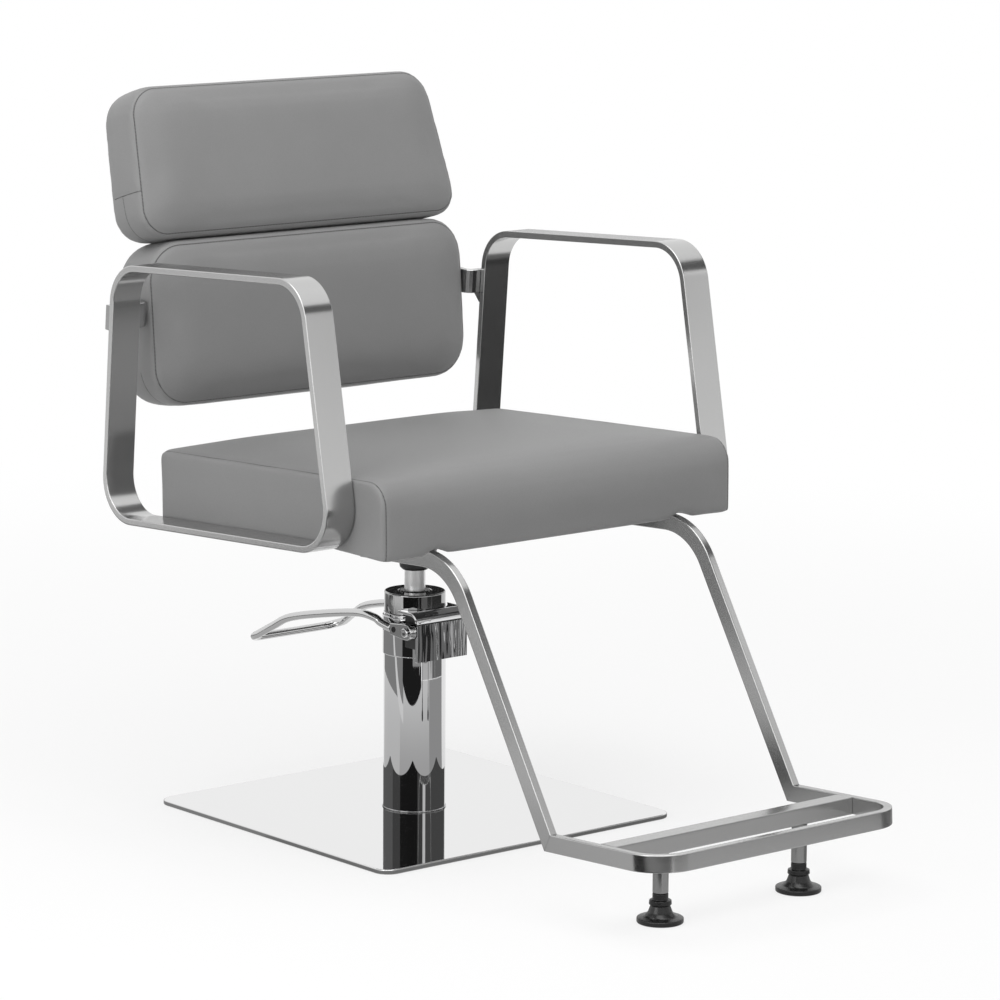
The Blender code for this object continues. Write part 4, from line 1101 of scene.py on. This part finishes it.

# sheets round the chair that glow at a set level and only gloss sees: painted reflections, for the bands in
# the metal; azimuths in degrees, 0 in front
# lying on the floor: first and last azimuth, near and far radius, level there (one or both), other settings
lying = {"cameraFlag": (-83, -15, 0.635, 2.0, 0.014, {"layer": 0.004, "square": -47}),
         "cameraGap": (-46, -15, 0.87, 1.10, 0.30, {"layer": 0.006}),
         "cameraSide": (-15, 8, 1.15, 3.4, 0.20, {"layer": 0.003}),
         "leftFlag": (-125, -92, 1.58, 2.95, 0.06, {"layer": 0.004}),
         "leftLow": (-165, -125, 1.58, 1.99, 0.10, {"layer": 0.004}),
         "leftFloor": (-185, -110, 1.6, 2.2, 0.34, {}),
         "leftFar": (-170, -110, 2.7, 9.0, (0.9, 0.35), {}),
         "leftNear": (-185, -92, 0.22, 1.30, (0.56, 0.76), {"layer": 0.001}),
         "leftMiddle": (-185, -80, 0.65, 1.15, 0.25, {"spread": 0.27}),
         "leftStrip": (-124, -80, 0.475, 0.575, 0.72, {"layer": 0.005, "square": -57}),
         "leftKnee": (-150, -128, 1.33, 1.60, 0.12, {"layer": 0.004}),
         "nearFloor": (-92, 15, 0.22, 0.80, (0.42, 0.64), {"layer": 0.001}),
         "nearRight": (15, 78, 0.22, 0.80, 0.32, {"layer": 0.001}),
         "frontNear": (-12, 28, 0.80, 1.25, 0.52, {}),
         "frontSide": (28, 78, 0.80, 1.25, 0.16, {}),
         "frontDark": (35.8, 36.8, 0.80, 1.25, 0.02, {"layer": 0.004}),
         "frontStrip": (38.3, 38.55, 0.80, 1.25, 0.62, {"layer": 0.004}),
         "frontLine": (38.75, 39.0, 0.80, 1.25, 0.02, {"layer": 0.004}),
         "frontBand": (39.4, 40.3, 0.80, 1.25, 0.45, {"layer": 0.004}),
         "frontFlag": (8, 78, 1.25, 2.6, 0.05, {"layer": 0.004}),
         "frontFloor": (8, 78, 2.6, 4.2, 0.09, {}),
         "frontFar": (20, 60, 4.2, 7.0, 0.05, {})}
# standing: first and last azimuth, radius, level, lower and upper edge, other settings
standing = {"frontSky": (5, 80, 3.6, 0.84, 0.76, 1.7, {}),
            "legSky": (26, 46, 1.8, 0.66, 0.80, 1.34, {}),
            "upperFlag": (0, 100, 1.8, 0.12, 1.36, 2.0, {}),
            "rearFlag": (110, 170, 5.0, 0.27, 0.60, 0.97, {}),
            "capFlag": (132, 148, 1.0, 0.02, 0.43, 0.52, {}),
            "plateCamera": (-92, -28, 0.62, 0.012, 0.0, 0.36, {"square": -52, "second": True}),
            "plateSide": (-28, -8, 1.15, 0.06, 0.0, 0.50, {"second": True}),
            "plateStrip": (-8, 2, 1.15, 0.70, 0.0, 0.50, {"second": True}),
            "plateFront": (2, 110, 1.25, 0.08, 0.0, 0.55, {"second": True}),
            "plateLeft": (-125, -92, 0.90, 0.07, 0.0, 0.45, {"second": True}),
            "plateRear": (-215, -125, 0.90, 0.13, 0.0, 0.45, {"second": True})}


def buildStudio():
    world = bpy.data.worlds.new("studio")
    world.use_nodes = True
    scene.world = world
    sky = Graph(world.node_tree)
    ends = {"Value": sky.shown(), "To Min": studio["ambient"], "To Max": 1.0}
    level = sky.add("ShaderNodeMapRange", {}, ends)
    background = sky.tree.nodes["Background"]
    background.inputs["Color"].default_value = grey(1.0)
    sky.tree.links.new(level.socket, background.inputs["Strength"])

    fixed = {"Base Color": grey(studio["floor"]), "Roughness": 0.9, "Specular IOR Level": 0.0}
    paper = Finish("floorPaper", fixed)
    shown = paper.shown()
    glow = paper.add("ShaderNodeEmission", {}, {"Color": grey(1.0), "Strength": 1.0})
    away = paper.add("ShaderNodeVectorMath", {"operation": "LENGTH"}, {0: paper.place()}, "Value")
    keep = 1.0 - (1.0 - studio["keep"]) * away.fade(studio["near"], studio["far"])  # shadows fade outwards
    mixed = paper.add("ShaderNodeMixShader", {}, {0: keep * shown, 2: glow})
    paper.tree.links.new(paper.shader.outputs[0], mixed.socket.node.inputs[1])
    paper.tree.links.new(mixed.socket, paper.tree.nodes["Material Output"].inputs["Surface"])
    half, height = studio["half"], studio["height"]
    corners = [(-half, -half, height), (half, -half, height), (half, half, height), (-half, half, height)]
    stageSheet("floor", corners, [(0, 1, 2, 3)], paper)


def stageSheet(name, spots, faces, finish):
    mesh = bpy.data.meshes.new(name)
    mesh.from_pydata(spots, [], faces)
    mesh.materials.append(finish.material)
    made = bpy.data.objects.new(name, mesh)
    scene.collection.objects.link(made)
    return made


def lamp(name, spot, aim, size, power):
    data = bpy.data.lights.new(name, "AREA")
    data.shape, data.size, data.size_y, data.energy = "RECTANGLE", size[0], size[1], power
    made = bpy.data.objects.new(name, data)
    made.location = spot
    made.rotation_euler = (Vector(aim) - Vector(spot)).to_track_quat("-Z", "Y").to_euler()
    made.visible_camera = False
    scene.collection.objects.link(made)


def flag(name, azimuths, radii, level, layer=0.002, heights=None, square=None, spread=0.0, second=False):
    # a sheet between two rims round the chair; each rim is an arc with its radius, wider towards the first
    # azimuth by the spread, or a straight line whose nearest point lies at the square azimuth
    steps = 32
    turn = np.radians(np.linspace(azimuths[0], azimuths[1], steps))
    arc = np.linspace(1 + spread, 1, steps)
    reach = arc if square is None else 1 / np.cos(turn - math.radians(square))
    rims = [np.stack([r * reach * np.sin(turn), -r * reach * np.cos(turn), np.full(steps, h)], 1)
            for r, h in zip(radii, heights or (layer, layer))]
    index = np.arange(2 * steps).reshape(2, steps)
    quads = np.stack([index[0, :-1], index[0, 1:], index[1, 1:], index[1, :-1]], 1)
    # the sheet glows at its level and is black otherwise: a painted reflection, seen only in gloss
    fixed = {"Base Color": grey(0.0), "Roughness": 1.0, "Specular IOR Level": 0.0, "Emission Strength": 1.0}
    cloth = Finish(name + "Cloth", fixed)
    first, last = level if isinstance(level, tuple) else (level, level)
    spot = cloth.add("ShaderNodeVectorMath", {"operation": "MULTIPLY"},
                     {0: cloth.place(), 1: (1.0, 1.0, 0.0)})
    away = cloth.add("ShaderNodeVectorMath", {"operation": "LENGTH"}, {0: spot}, "Value")
    share = away.fade(radii[0], max(radii[1], radii[0] + 0.01))
    cloth.feed("Emission Color", cloth.tint(share, grey(last), grey(first)))
    if second:  # met only by way of two mirrors: the column's foot shows it in the plate
        depth = cloth.add("ShaderNodeLightPath", out="Glossy Depth")
        cloth.feed("Alpha", depth.maths("GREATER_THAN", 1.5))
    made = stageSheet(name, np.concatenate(rims), quads.tolist(), cloth)
    made.visible_camera = made.visible_diffuse = made.visible_shadow = made.visible_transmission = False


buildStudio()
lamp("topLamp", (-0.5, -0.5, 2.9), (0, 0, 0.4), (2.4, 2.4), 42.0)
lamp("leftLamp", (-3.0, -0.6, 1.5), (0, 0, 0.5), (1.6, 2.0), 22.0)
for name, (first, last, near, far, level, more) in lying.items():
    flag(name, (first, last), (near, far), level, **more)
for name, (first, last, radius, level, lower, upper, more) in standing.items():
    flag(name, (first, last), (radius, radius), level, heights=(lower, upper), **more)
print("studio ready")
